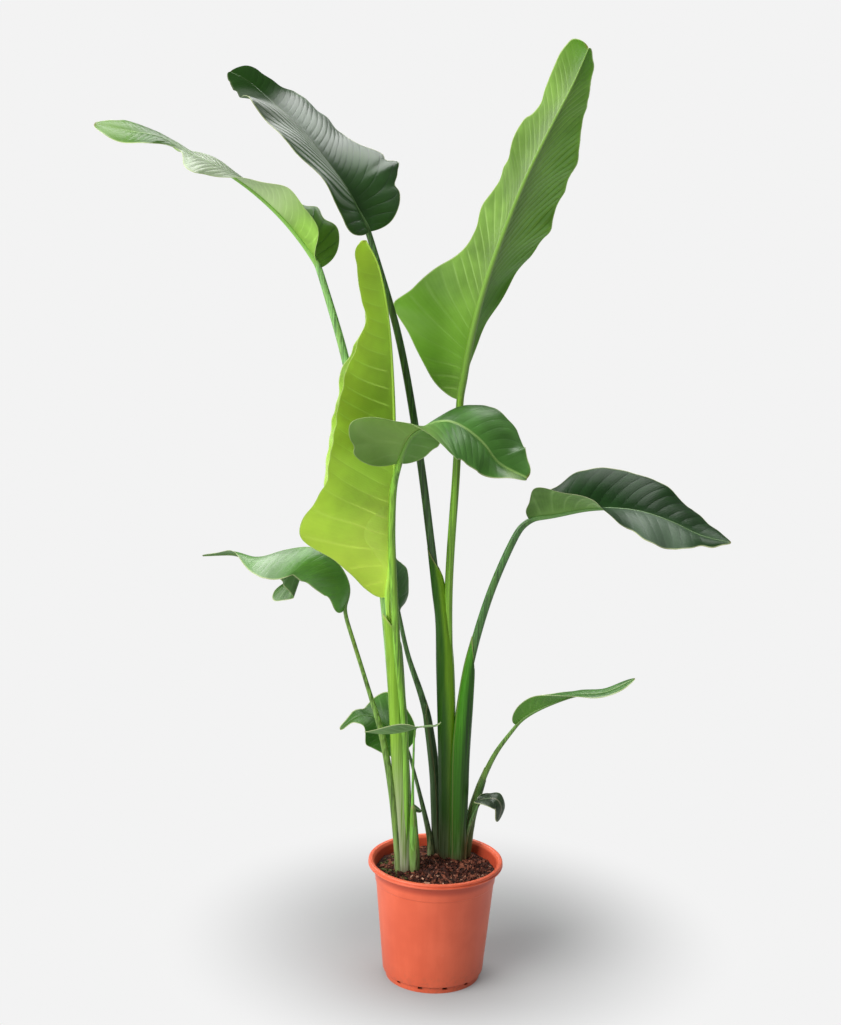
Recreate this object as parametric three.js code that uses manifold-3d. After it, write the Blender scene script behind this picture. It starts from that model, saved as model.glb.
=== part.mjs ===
// A bird of paradise house plant in its terracotta coloured nursery pot.
// Millimetres, +Z up, origin at the centre of the pot's underside. -Y is the plant's front.

import * as THREE from "three";
import { ParametricGeometry } from "three/addons/geometries/ParametricGeometry.js";
import { mergeVertices } from "three/addons/utils/BufferGeometryUtils.js";
import Module from "manifold-3d";

// Pot
const RIM_RADIUS = 120;
const RIM_TOP = 219.5;
const RIM_UNDERSIDE = 207.5;
const LIP_INNER_RADIUS = 110.8;
const BAND_STEP_HEIGHT = 182;
const WALL_TOP_RADIUS = 109.4;
const WALL_FOOT_RADIUS = 90;
const WALL_THICKNESS = 2.2;
const BAND_PROUD = 1.4;
const FOOT_RADIUS = 84.5;
const FOOT_HEIGHT = 12;
const FOOT_RING_WIDTH = 7.5;
const CENTRE_DISC_RADIUS = 52;
const CHANNEL_HEIGHT = 5;
const DRAIN_COUNT = 6;
const DRAIN_RADIUS = 6;
const SLOT_COUNT = 12;
const SLOT_WIDTH = 7;
const SLOT_HEIGHT = 3.6;
const POT_SIDES = 36;

// Soil
const SOIL_EDGE_HEIGHT = 199.5;
const SOIL_MOUND = 4;

// Clearance between cut neighbours, and the thickness of a leaf at its midrib
const GAP = 0.3;
const BLADE_THICKNESS = 1.2;

// Facets
const STALK_STATIONS = 15;
const STALK_SIDES = 8;
const BLADE_STATIONS = 15;
const BLADE_SIDES = 12;

// How a blade spreads: the veins lean towards the tip, and the base lobes reach back.
const VEIN_LEAN = 0.3;
const LOBE_REACH = 0.25;
const LOBE_END = 0.3;
const BLADE_ARCH = 0.08;

const FRONT = new THREE.Vector3(0, -1, 0);
const UPWARDS = new THREE.Vector3(0, 0, 1);

// Every leaf has a stalk, whose rows are x, y, z and radius from its foot in the soil to its top,
// and a blade, whose rows follow the midrib from base to tip. A blade row is x, y, z, then the
// width and the fold angle of the left half, then those of the right half. The angle turns a
// half about the midrib: 0 spreads it flat to the sides, and 90 brings it round to the front.
// upperSide is 1 where an unfolded blade would turn its upper side to the front, or else -1.
// facing is the way that counts as the front, where that isn't -Y.
const LEAVES = [
  {
    name: "far_left_leaf",
    upperSide: 1,
    stalk: [
      [-66, 1, 145, 5], [-66, 1, 200, 6], [-74, 8, 385, 6.8], [-93, 14, 601, 6.8],
      [-115, 26, 775, 7], [-143, 40, 922, 7.2], [-176, 52, 1093, 7], [-227, 57, 1260, 5.6],
    ],
    blade: [
      [-224, 58, 1256, 0, 110, 0, -30],
      [-253, 52, 1299, 70, 115, 80, -40],
      [-292, 46, 1344, 85, 120, 85, -70],
      [-340, 38, 1386, 75, 105, 95, -95],
      [-393, 26, 1421, 90, 80, 85, -90],
      [-439, 14, 1442, 60, 80, 75, -95],
      [-487, 2, 1468, 55, 80, 65, -90],
      [-538, -8, 1477, 45, 65, 45, -70],
      [-591, -16, 1488, 0, 65, 0, -70],
    ],
  },
  {
    name: "dark_top_leaf",
    upperSide: 1,
    stalk: [
      [15, 49, 145, 5.5], [15, 49, 200, 6.4], [8, 56, 424, 6.8], [-2, 56, 620, 7.2],
      [-27, 50, 808, 7], [-52, 46, 967, 6.6], [-89, 46, 1147, 6.2], [-144.5, 48.5, 1324, 5.2],
    ],
    blade: [
      [-142, 48, 1320, 0, 60, 0, -40],
      [-180, 58, 1388, 85, 75, 125, -45],
      [-225, 74, 1444, 110, 80, 110, -65],
      [-266, 94, 1490, 105, 80, 125, -70],
      [-308, 116, 1525, 90, 75, 110, -70],
      [-353, 142, 1561, 60, 65, 70, -70],
      [-389, 160, 1579, 0, 60, 0, -60],
    ],
  },
  {
    name: "tall_right_leaf",
    upperSide: -1,
    stalk: [
      [28, 48, 145, 5.5], [28, 48, 200, 6.4], [22, 46, 425, 7], [10, 47, 683, 7.2],
      [17, 49, 915, 6.8], [19.5, 49.5, 1044, 6.4],
    ],
    blade: [
      [19, 50, 1038, 0, -40, 0, -80],
      [33, 30, 1140, 155, -35, 85, -75],
      [53, 8, 1231, 120, -60, 130, -60],
      [80, -16, 1321, 150, -75, 140, -55],
      [113, -46, 1416, 120, -70, 120, -55],
      [149, -80, 1501, 85, -65, 100, -60],
      [178, -108, 1565, 75, -60, 75, -60],
      [200, -130, 1623, 0, -55, 0, -50],
    ],
  },
  {
    name: "folded_middle_leaf",
    upperSide: -1,
    stalk: [
      [-52, -6, 145, 5], [-52, -6, 200, 6], [-72, -6, 440, 6.6], [-85, -6, 605, 6.4],
      [-96.8, -4.2, 704, 5.6],
    ],
    blade: [
      [-97, -4, 699, 0, 20, 0, -160],
      [-93, -8, 819, 160, 15, 140, -170],
      [-91, -13, 942, 125, 35, 125, -160],
      [-95, -20, 1062, 85, 30, 95, -145],
      [-105, -30, 1181, 65, 45, 75, -130],
      [-122, -40, 1267, 40, 30, 40, -135],
      [-144, -48, 1312, 0, 25, 0, -130],
    ],
  },
  {
    name: "twisted_middle_leaf",
    upperSide: -1,
    stalk: [
      [-52, -19, 145, 5], [-52, -19, 200, 6], [-60, -20, 446, 6.6], [-77, -23, 610, 6.6],
      [-89, -30, 771, 6.6], [-91, -35, 842, 6], [-89, -40, 904, 6], [-79, -47, 948, 4.8],
    ],
    blade: [
      [-81, -46, 943, 0, 50, 0, -40],
      [-65, -55, 987, 120, 40, 65, -40],
      [-36, -62, 1011, 95, 90, 65, -75],
      [-3, -67, 1019, 95, 110, 95, -100],
      [27, -70, 1008, 85, 115, 90, -120],
      [58, -72, 983, 70, 115, 80, -130],
      [85, -76, 951, 45, 105, 55, -135],
      [132, -84, 929, 0, 100, 0, -130],
    ],
  },
  {
    name: "left_side_leaf",
    upperSide: 1,
    stalk: [
      [-65, -20, 145, 5], [-65, -20, 200, 6], [-79, -18, 334, 6], [-99, -6, 444, 6],
      [-126, 12, 526, 4], [-174, 41, 663, 3.6],
    ],
    blade: [
      [-175, 42, 658, 0, 60, 0, -100],
      [-163, 40, 702, 55, 40, 45, -140],
      [-185, 38, 747, 75, 40, 90, -160],
      [-227, 38, 773, 75, 55, 85, -170],
      [-276, 42, 767, 85, 75, 85, -185],
      [-322, 50, 751, 45, 90, 65, -140],
      [-365, 62, 749, 28, 105, 30, -115],
      [-425, 78, 744, 0, 110, 0, -105],
    ],
  },
  {
    name: "right_side_leaf",
    upperSide: 1,
    stalk: [
      [42, 43, 145, 5.5], [42, 43, 200, 6.6], [39, 41, 428, 8.6], [47, 40, 549, 8],
      [79, 40, 687, 7], [124, 38, 805, 6.2], [150, 35.5, 836, 5],
    ],
    blade: [
      [145, 36, 835, 0, -50, 0, 140],
      [191, 30, 845, 75, -60, 75, 135],
      [242, 22, 858, 90, -50, 95, 110],
      [289, 12, 863, 90, -60, 75, 80],
      [338, 0, 860, 90, -65, 85, 70],
      [387, -10, 846, 75, -70, 60, 60],
      [437, -22, 826, 50, -75, 40, 70],
      [486, -30, 817, 0, -75, 0, 75],
    ],
  },
  {
    name: "hidden_back_leaf",
    upperSide: 1,
    stalk: [
      [6, 60, 145, 5.5], [6, 60, 200, 6.5], [-5, 72, 349, 7.6], [-25, 80, 469, 6.4],
      [-59, 88, 569, 4.4], [-78.5, 97, 649, 3.6],
    ],
    blade: [
      [-77, 96, 644, 0, 75, 0, -60],
      [-89, 106, 687, 45, 50, 45, -55],
      [-108, 120, 748, 70, 50, 65, -65],
      [-133, 140, 812, 60, 60, 60, -70],
      [-168, 176, 868, 0, 65, 0, -70],
    ],
  },
  {
    name: "low_right_leaf",
    upperSide: 1,
    stalk: [
      [54, 58, 145, 5], [54, 58, 200, 6], [67, 57, 300, 6.4], [98, 54, 391, 4.6],
      [141, 49.5, 459.5, 3],
    ],
    blade: [
      [137, 50, 456, 0, -40, 0, 140],
      [161, 47, 478, 32, -60, 34, 150],
      [196, 44, 498, 38, -90, 40, 130],
      [243, 40, 517, 36, -95, 36, 100],
      [293, 34, 526, 26, -90, 28, 95],
      [342, 28, 554, 0, -95, 0, 90],
    ],
  },
  {
    name: "curled_right_leaf",
    upperSide: 1,
    stalk: [[53, 43, 145, 3], [53, 43, 200, 3.4], [56, 44, 250, 3.4], [76.5, 32.7, 318, 2.2]],
    blade: [
      [72, 34, 316, 0, -60, 0, 120],
      [86, 30, 322, 22, -85, 32, 90],
      [106, 27, 323, 22, -75, 18, 45],
      [115, 25, 307, 16, -65, 14, 35],
      [109, 24, 282, 0, -60, 0, 35],
    ],
  },
  {
    name: "young_back_leaf",
    upperSide: -1,
    stalk: [
      [-8, 55, 145, 6], [-8, 55, 200, 7], [-12, 58, 240, 5.5], [-33, 66, 322, 3.6],
      [-56, 73.3, 403, 2.4],
    ],
    blade: [
      [-53, 74, 399, 0, 60, 0, -50],
      [-71, 70, 422, 50, 45, 55, -50],
      [-95, 67, 445, 60, 50, 70, -65],
      [-124, 65, 460, 40, 80, 35, -90],
      [-149, 64, 458, 15, 75, 15, -60],
      [-177, 62, 435, 0, 50, 0, -40],
    ],
  },
  {
    name: "young_front_leaf",
    upperSide: 1,
    facing: UPWARDS,
    arch: -0.15,
    stalk: [
      [-37, -17, 145, 6], [-37, -17, 200, 8], [-40, -26, 270, 6.6], [-43, -26, 322, 3.4],
      [-44, -30, 376, 2.2], [-46.3, -41, 449.5, 1.8],
    ],
    blade: [
      [-46, -37, 447, 0, 10, 0, 10],
      [-48, -62, 463, 45, 12, 55, 0],
      [-50, -95, 482, 60, 12, 72, 5],
      [-53, -128, 500, 40, 15, 45, 10],
      [-56, -155, 515, 0, 15, 0, 10],
    ],
  },
];

// A small bract that stands out from the stalk of the young leaf at the back
const BRACT_CARRIER = "young_back_leaf";
const BRACT = {
  upperSide: 1,
  blade: [[-27, 62, 283, 0, 40, 0, -70], [-38, 60, 290, 8, 50, 8, -75], [-50, 57, 299, 0, 60, 0, -75]],
};

const potPlastic = new THREE.MeshStandardMaterial({ color: 0xd96a48, roughness: 0.55, metalness: 0 });
const soilMix = new THREE.MeshStandardMaterial({ color: 0x3c2419, roughness: 1, metalness: 0 });
const stalkSkin = new THREE.MeshStandardMaterial({ color: 0x4f7d2c, roughness: 0.5, metalness: 0 });
const leafSkin = new THREE.MeshStandardMaterial({
  color: 0x3f7a2c,
  roughness: 0.4,
  metalness: 0,
  side: THREE.DoubleSide,
});

const wasm = await Module();
wasm.setup();

// A three.js geometry as a solid that can be joined and cut
function solidOf(geometry) {
  const bare = geometry.clone();
  bare.deleteAttribute("normal");
  bare.deleteAttribute("uv");
  const merged = mergeVertices(bare, 1e-3);
  const mesh = new wasm.Mesh({
    numProp: 3,
    vertProperties: merged.attributes.position.array,
    triVerts: new Uint32Array(merged.index.array),
  });
  return new wasm.Manifold(mesh);
}

// A cut solid as a three.js geometry again
function geometryOf(solid) {
  const mesh = solid.getMesh();
  const geometry = new THREE.BufferGeometry();
  geometry.setAttribute("position", new THREE.BufferAttribute(mesh.vertProperties, 3));
  geometry.setIndex(new THREE.BufferAttribute(mesh.triVerts, 1));
  geometry.computeVertexNormals();
  return geometry;
}

function meshOf(name, solid, material) {
  const mesh = new THREE.Mesh(geometryOf(solid), material);
  mesh.name = name;
  return mesh;
}

// One column of a list of rows, read as a smooth curve at t from 0 to 1
function keyed(values, t) {
  const last = values.length - 1;
  const place = THREE.MathUtils.clamp(t, 0, 1) * last;
  const index = Math.min(Math.floor(place), last - 1);
  const part = place - index;
  const here = values[index];
  const next = values[index + 1];
  const before = index > 0 ? values[index - 1] : 2 * here - next;
  const after = index + 2 <= last ? values[index + 2] : 2 * next - here;
  const slopeHere = (next - before) / 2;
  const slopeNext = (after - here) / 2;
  const second = -3 * here + 3 * next - 2 * slopeHere - slopeNext;
  const third = 2 * here - 2 * next + slopeHere + slopeNext;
  return here + slopeHere * part + second * part ** 2 + third * part ** 3;
}

const column = (rows, index) => rows.map((row) => row[index]);

// The first three columns of a list of rows as a smooth curve in space
function runOf(rows) {
  const points = rows.map(([x, y, z]) => new THREE.Vector3(x, y, z));
  return new THREE.CatmullRomCurve3(points, false, "catmullrom", 0.5);
}

// The directions along a run at t, to its right side and to its front
function framesAlong(run, t, facing) {
  const along = run.getTangent(t);
  const side = along.clone().cross(facing).normalize();
  const front = side.clone().cross(along);
  return { centre: run.getPoint(t), along, side, front };
}

// A tapered round stalk with closed ends, grown by `extra` all over
function stalkSolid(rows, extra = 0) {
  const run = runOf(rows);
  const radii = column(rows, 3);
  const rings = STALK_STATIONS + 2;
  const place = (around, u, target) => {
    const ring = Math.round(u * rings);
    const t = THREE.MathUtils.clamp((ring - 1) / (rings - 2), 0, 1);
    const isCap = ring === 0 || ring === rings;
    const reach = isCap ? 0 : keyed(radii, t) + extra;
    const { centre, along, side, front } = framesAlong(run, t, FRONT);
    const turn = around * 2 * Math.PI;
    target.copy(centre);
    target.addScaledVector(side, reach * Math.cos(turn));
    target.addScaledVector(front, -reach * Math.sin(turn));
    if (t === 0) target.addScaledVector(along, -extra);
    if (t === 1) target.addScaledVector(along, extra);
  };
  return solidOf(new ParametricGeometry(place, STALK_SIDES, rings));
}

// How far a vein leans along the midrib, as a share of the half's width
function leanAt(t) {
  const past = THREE.MathUtils.smoothstep(t, 0, LOBE_END);
  return VEIN_LEAN * past - LOBE_REACH * (1 - past);
}

// A point of the blade's middle surface. `reachOut` runs from -1 at the left edge to 1 at the right.
function bladePoint(leaf, run, t, reachOut) {
  const rows = leaf.blade;
  const isLeft = reachOut < 0;
  const hand = isLeft ? -1 : 1;
  const out = Math.abs(reachOut);
  const squares = column(rows, isLeft ? 3 : 5).map((width) => width ** 2);
  const width = Math.sqrt(Math.max(keyed(squares, t), 0));
  const angle = THREE.MathUtils.degToRad(keyed(column(rows, isLeft ? 4 : 6), t));
  const { centre, along, side, front } = framesAlong(run, t, leaf.facing ?? FRONT);
  const spread = side.clone().multiplyScalar(hand * Math.cos(angle)).addScaledVector(front, Math.sin(angle));
  const upper = spread.clone().multiplyScalar(hand).cross(along).multiplyScalar(leaf.upperSide);
  const arch = (leaf.arch ?? BLADE_ARCH) * 4 * out * (1 - out) * width;
  const point = centre
    .addScaledVector(spread, out * width)
    .addScaledVector(along, out ** 1.5 * width * leanAt(t))
    .addScaledVector(upper, arch);
  return { point, upper };
}

// The cells of the underside are split along the same diagonals as the cells that lie over them.
function matchUnderside(blade) {
  const corners = blade.index.array;
  for (let cell = 0; cell < corners.length / 6; cell += 1) {
    if (cell % BLADE_SIDES >= BLADE_SIDES / 2) {
      const [a, b, d, , c] = corners.slice(6 * cell, 6 * cell + 5);
      corners.set([a, b, c, a, c, d], 6 * cell);
    }
  }
  return blade;
}

// A leaf blade as a thin closed solid: a lens-shaped section carried along the midrib
function bladeSolid(leaf) {
  const run = runOf(leaf.blade);
  const place = (around, u, target) => {
    const t = (1 - Math.cos(Math.PI * u)) / 2;
    const isUpper = around < 0.5;
    const reachOut = isUpper ? 4 * around - 1 : 3 - 4 * around;
    const onMidrib = Math.abs(reachOut) < 1e-6;
    const { point, upper } = bladePoint(leaf, run, t, reachOut);
    const normal = upper.clone();
    if (onMidrib) normal.add(bladePoint(leaf, run, t, -1e-6).upper).normalize();
    const thickness = BLADE_THICKNESS * (1 - reachOut ** 2) * Math.sqrt(4 * t * (1 - t));
    const lift = (isUpper ? 0.5 : -0.5) * thickness * leaf.upperSide;
    target.copy(point).addScaledVector(normal, lift);
  };
  return solidOf(matchUnderside(new ParametricGeometry(place, BLADE_SIDES, BLADE_STATIONS)));
}

// The pot's section, from the middle of its underside round to the middle of its floor
function potProfile() {
  const wallSlope = (WALL_TOP_RADIUS - WALL_FOOT_RADIUS) / (RIM_UNDERSIDE - FOOT_HEIGHT);
  const wallAt = (z) => WALL_FOOT_RADIUS + (z - FOOT_HEIGHT) * wallSlope;
  const ringInner = FOOT_RADIUS - FOOT_RING_WIDTH;
  const section = new THREE.Path();
  section.moveTo(0, 0);
  section.lineTo(CENTRE_DISC_RADIUS, 0);
  section.lineTo(CENTRE_DISC_RADIUS + 3, CHANNEL_HEIGHT);
  section.lineTo(ringInner - 3, CHANNEL_HEIGHT);
  section.lineTo(ringInner, 0);
  section.lineTo(FOOT_RADIUS, 0);
  section.lineTo(FOOT_RADIUS, FOOT_HEIGHT - 1);
  section.lineTo(FOOT_RADIUS - 0.9, FOOT_HEIGHT);
  section.lineTo(WALL_FOOT_RADIUS - 0.6, FOOT_HEIGHT + 1);
  section.lineTo(WALL_FOOT_RADIUS, FOOT_HEIGHT + 2.5);
  section.lineTo(wallAt(BAND_STEP_HEIGHT) - BAND_PROUD, BAND_STEP_HEIGHT - 1.5);
  section.lineTo(wallAt(BAND_STEP_HEIGHT), BAND_STEP_HEIGHT);
  section.lineTo(WALL_TOP_RADIUS, RIM_UNDERSIDE);
  section.lineTo(RIM_RADIUS - 1.5, RIM_UNDERSIDE);
  section.lineTo(RIM_RADIUS, RIM_UNDERSIDE + 1.5);
  section.lineTo(RIM_RADIUS, RIM_TOP - 4.5);
  section.quadraticCurveTo(RIM_RADIUS - 0.4, RIM_TOP - 0.6, RIM_RADIUS - 4.5, RIM_TOP);
  section.quadraticCurveTo(RIM_RADIUS - 8, RIM_TOP, LIP_INNER_RADIUS, RIM_TOP - 2);
  section.lineTo(LIP_INNER_RADIUS - 2.2, RIM_TOP - 6);
  section.lineTo(WALL_TOP_RADIUS - WALL_THICKNESS, RIM_UNDERSIDE - 4);
  section.lineTo(wallAt(BAND_STEP_HEIGHT) - WALL_THICKNESS, BAND_STEP_HEIGHT + 1);
  section.lineTo(wallAt(BAND_STEP_HEIGHT) - BAND_PROUD - WALL_THICKNESS, BAND_STEP_HEIGHT - 2);
  section.lineTo(WALL_FOOT_RADIUS - WALL_THICKNESS, FOOT_HEIGHT + 5);
  section.lineTo(FOOT_RADIUS - WALL_THICKNESS, FOOT_HEIGHT + 1);
  section.lineTo(FOOT_RADIUS - WALL_THICKNESS, WALL_THICKNESS);
  section.lineTo(ringInner + 1.5, WALL_THICKNESS);
  section.lineTo(ringInner - 1, CHANNEL_HEIGHT + WALL_THICKNESS);
  section.lineTo(CENTRE_DISC_RADIUS + 1, CHANNEL_HEIGHT + WALL_THICKNESS);
  section.lineTo(CENTRE_DISC_RADIUS - 1.5, WALL_THICKNESS);
  section.lineTo(0, WALL_THICKNESS);
  return section.getPoints(4);
}

// The soil fills the pot to just under the rim and rises a little round the stalks
function soilProfile() {
  const wallSlope = (WALL_TOP_RADIUS - WALL_FOOT_RADIUS) / (RIM_UNDERSIDE - FOOT_HEIGHT);
  const wallAt = (z) => WALL_FOOT_RADIUS + (z - FOOT_HEIGHT) * wallSlope;
  const floor = CHANNEL_HEIGHT + WALL_THICKNESS + GAP;
  const inset = WALL_THICKNESS + GAP + 0.1;
  const stepInset = inset + BAND_PROUD;
  return [
    [0, floor],
    [FOOT_RADIUS - inset, floor],
    [FOOT_RADIUS - inset, FOOT_HEIGHT + 1],
    [WALL_FOOT_RADIUS - inset - 0.1, FOOT_HEIGHT + 5.2],
    [wallAt(BAND_STEP_HEIGHT) - stepInset, BAND_STEP_HEIGHT - 2],
    [wallAt(BAND_STEP_HEIGHT) - inset, BAND_STEP_HEIGHT + 1],
    [wallAt(SOIL_EDGE_HEIGHT) - inset - 0.6, SOIL_EDGE_HEIGHT],
    [wallAt(SOIL_EDGE_HEIGHT) - 18, SOIL_EDGE_HEIGHT + 0.5 * SOIL_MOUND],
    [45, SOIL_EDGE_HEIGHT + SOIL_MOUND],
    [0, SOIL_EDGE_HEIGHT + SOIL_MOUND],
  ].map(([radius, z]) => new THREE.Vector2(radius, z));
}

function turnedSolid(profile) {
  return solidOf(new THREE.LatheGeometry(profile, POT_SIDES).rotateX(Math.PI / 2));
}

// Round drain holes in the raised channel, and slots through the foot ring
function potSolid() {
  let pot = turnedSolid(potProfile());
  const channelMiddle = (CENTRE_DISC_RADIUS + FOOT_RADIUS - FOOT_RING_WIDTH) / 2;
  for (let i = 0; i < DRAIN_COUNT; i += 1) {
    const angle = (i / DRAIN_COUNT) * 2 * Math.PI;
    const drill = new THREE.CylinderGeometry(DRAIN_RADIUS, DRAIN_RADIUS, 4 * CHANNEL_HEIGHT, 10);
    drill.rotateX(Math.PI / 2);
    drill.translate(channelMiddle * Math.cos(angle), channelMiddle * Math.sin(angle), CHANNEL_HEIGHT);
    pot = pot.subtract(solidOf(drill));
  }
  for (let i = 0; i < SLOT_COUNT; i += 1) {
    const cutter = new THREE.BoxGeometry(3 * WALL_THICKNESS, SLOT_WIDTH, SLOT_HEIGHT);
    cutter.translate(FOOT_RADIUS - WALL_THICKNESS / 2, 0, FOOT_HEIGHT - 1 - SLOT_HEIGHT / 2);
    cutter.rotateZ(((i + 0.5) / SLOT_COUNT) * 2 * Math.PI);
    pot = pot.subtract(solidOf(cutter));
  }
  return pot;
}

const plant = new THREE.Group();
let soil = turnedSolid(soilProfile());

for (const leaf of LEAVES) {
  const room = stalkSolid(leaf.stalk, GAP);
  soil = soil.subtract(room);
  plant.add(meshOf(leaf.name + "_stalk", stalkSolid(leaf.stalk), stalkSkin));
  plant.add(meshOf(leaf.name + "_blade", bladeSolid(leaf).subtract(room), leafSkin));
  if (leaf.name === BRACT_CARRIER) {
    plant.add(meshOf("small_bract", bladeSolid(BRACT).subtract(room), leafSkin));
  }
}

plant.add(meshOf("soil", soil, soilMix));
plant.add(meshOf("pot", potSolid(), potPlastic));

export default plant;
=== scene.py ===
import math

import bpy
import numpy as np
from mathutils import Matrix, Vector


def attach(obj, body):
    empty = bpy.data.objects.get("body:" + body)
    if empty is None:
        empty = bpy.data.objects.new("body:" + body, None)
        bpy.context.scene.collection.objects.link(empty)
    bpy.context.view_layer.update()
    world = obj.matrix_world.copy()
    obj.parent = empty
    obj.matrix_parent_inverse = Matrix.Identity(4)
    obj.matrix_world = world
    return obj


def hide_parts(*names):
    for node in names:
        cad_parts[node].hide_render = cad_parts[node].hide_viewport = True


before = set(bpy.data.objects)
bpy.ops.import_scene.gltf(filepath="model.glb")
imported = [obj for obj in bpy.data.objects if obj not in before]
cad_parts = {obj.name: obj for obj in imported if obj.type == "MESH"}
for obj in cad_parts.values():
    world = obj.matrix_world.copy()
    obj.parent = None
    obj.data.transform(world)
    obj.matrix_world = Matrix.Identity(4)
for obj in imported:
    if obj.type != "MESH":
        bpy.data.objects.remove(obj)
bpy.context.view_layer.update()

mm = 0.001
toFront = np.array([0.0, -1.0, 0.0])
upwards = np.array([0.0, 0.0, 1.0])
rootBody = "root"

# Camera

cameraPlace = {
    "location": (-0.043, -3.1, 1.512), "pitchDown": 12.07, "roll": 1.5,
    "sensor": 36.0, "lens": 65.01, "sees": 60.0,
}

cameraData = bpy.data.cameras.new("studioCamera")
cameraData.sensor_width = cameraPlace["sensor"]
cameraData.lens = cameraPlace["lens"]
cameraData.clip_end = cameraPlace["sees"]
camera = bpy.data.objects.new("studioCamera", cameraData)
tilt = Matrix.Rotation(math.radians(90 - cameraPlace["pitchDown"]), 4, "X")
roll = Matrix.Rotation(math.radians(cameraPlace["roll"]), 4, "Z")
camera.matrix_world = Matrix.Translation(cameraPlace["location"]) @ tilt @ roll
bpy.context.scene.collection.objects.link(camera)
bpy.context.scene.camera = camera
bpy.context.scene.view_settings.view_transform = "Standard"
print("camera set")

# Numbers and meshes


def unit(vectors):  # vectors divided by their own lengths
    length = np.linalg.norm(vectors, axis=-1, keepdims=True)
    return vectors / np.maximum(length, 1e-12)


def linear(colour):  # a screen colour from 0 to 255 as the light it stands for
    parts = np.array(colour) / 255
    light = np.where(parts <= 0.04045, parts / 12.92, ((parts + 0.055) / 1.055) ** 2.4)
    return (*light.tolist(), 1.0)


def shade(colour, factor, lift=0):  # a screen colour made darker or paler
    return tuple(min(part * factor + lift, 255) for part in colour)


def rise(low, high, value):  # 0 below low, 1 above high, and an S-shaped run between them
    share = np.clip((value - low) / (high - low), 0, 1)
    return share * share * (3 - 2 * share)


def keyed(values, share):
    # A smooth run through evenly spaced rows, for share from 0 to 1. Each stretch is a cubic whose slope at a
    # row is half the step from the row before to the row after, and the ends carry their own stretch on.
    values = np.asarray(values, float)
    padded = np.concatenate([2 * values[:1] - values[1:2], values, 2 * values[-1:] - values[-2:-1]])
    last = len(values) - 1
    place = np.clip(share, 0, 1) * last
    index = np.minimum(place.astype(int), last - 1)
    part = (place - index).reshape(-1, *[1] * (values.ndim - 1))
    before, here, after, beyond = (padded[index + step] for step in range(4))
    slopeHere = (after - before) / 2
    slopeAfter = (beyond - here) / 2
    second = 3 * (after - here) - 2 * slopeHere - slopeAfter
    third = 2 * (here - after) + slopeHere + slopeAfter
    return here + slopeHere * part + second * part**2 + third * part**3


def lattice(x, y, seed):
    # Soft noise from -1 to 1: random heights on a square lattice, blended with S-shaped steps
    heights = np.random.default_rng(seed).uniform(-1, 1, (64, 64))
    column, row = np.floor(x).astype(int), np.floor(y).astype(int)
    across, down = x - column, y - row
    across, down = across**2 * (3 - 2 * across), down**2 * (3 - 2 * down)
    corner = [[heights[(column + i) % 64, (row + j) % 64] for j in (0, 1)] for i in (0, 1)]
    near = corner[0][0] * (1 - across) + corner[1][0] * across
    far = corner[0][1] * (1 - across) + corner[1][1] * across
    return near * (1 - down) + far * down


def twoWaves(run, lengths, phases, share):  # a wave along a run, with a share of a shorter one
    wave, short = (np.sin(2 * np.pi * (run / length + phase)) for length, phase in zip(lengths, phases))
    return wave + share * short


def runAlong(path):  # the length of a path up to each of its points
    return np.concatenate([[0], np.cumsum(np.linalg.norm(np.diff(path, axis=0), axis=1))])


def fullTurn(sides):  # angles once round, without the last, which would be the first again
    return np.linspace(0, 2 * np.pi, sides + 1)[:-1]


def circles(reach, height, sides):  # level circles of the given radii and heights about the upright axis
    reach, height, turn = np.array(reach)[:, None], np.array(height)[:, None], fullTurn(sides)
    return np.stack([reach * np.cos(turn), reach * np.sin(turn), height + 0 * turn], axis=-1)


def turnsFrom(angles, one, two):  # a matrix for each angle, which turns axis one towards axis two
    turns = np.tile(np.eye(3), (len(angles), 1, 1))
    turns[:, one, one] = turns[:, two, two] = np.cos(angles)
    turns[:, two, one], turns[:, one, two] = np.sin(angles), -np.sin(angles)
    return turns


def withEnds(rings):  # ring values with those of the two end points added, each the mean of its ring
    return np.concatenate([rings.reshape(-1, 3), rings[:1].mean(axis=1), rings[-1:].mean(axis=1)])


def sweptGrid(rings):
    # Closed rings carried along a run, as vertices and quads. Each end is closed on one point at its middle.
    count, around = rings.shape[:2]
    index = np.arange(count * around).reshape(count, around)
    after = np.roll(index, -1, axis=1)
    walls = np.stack([index[:-1], after[:-1], after[1:], index[1:]], axis=-1).reshape(-1, 4)
    start, end = np.full(around, count * around), np.full(around, count * around + 1)
    first = np.stack([start, after[0], index[0], index[0]], axis=-1)
    final = np.stack([end, index[-1], after[-1], after[-1]], axis=-1)
    return withEnds(rings), np.concatenate([walls, first, final])


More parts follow.
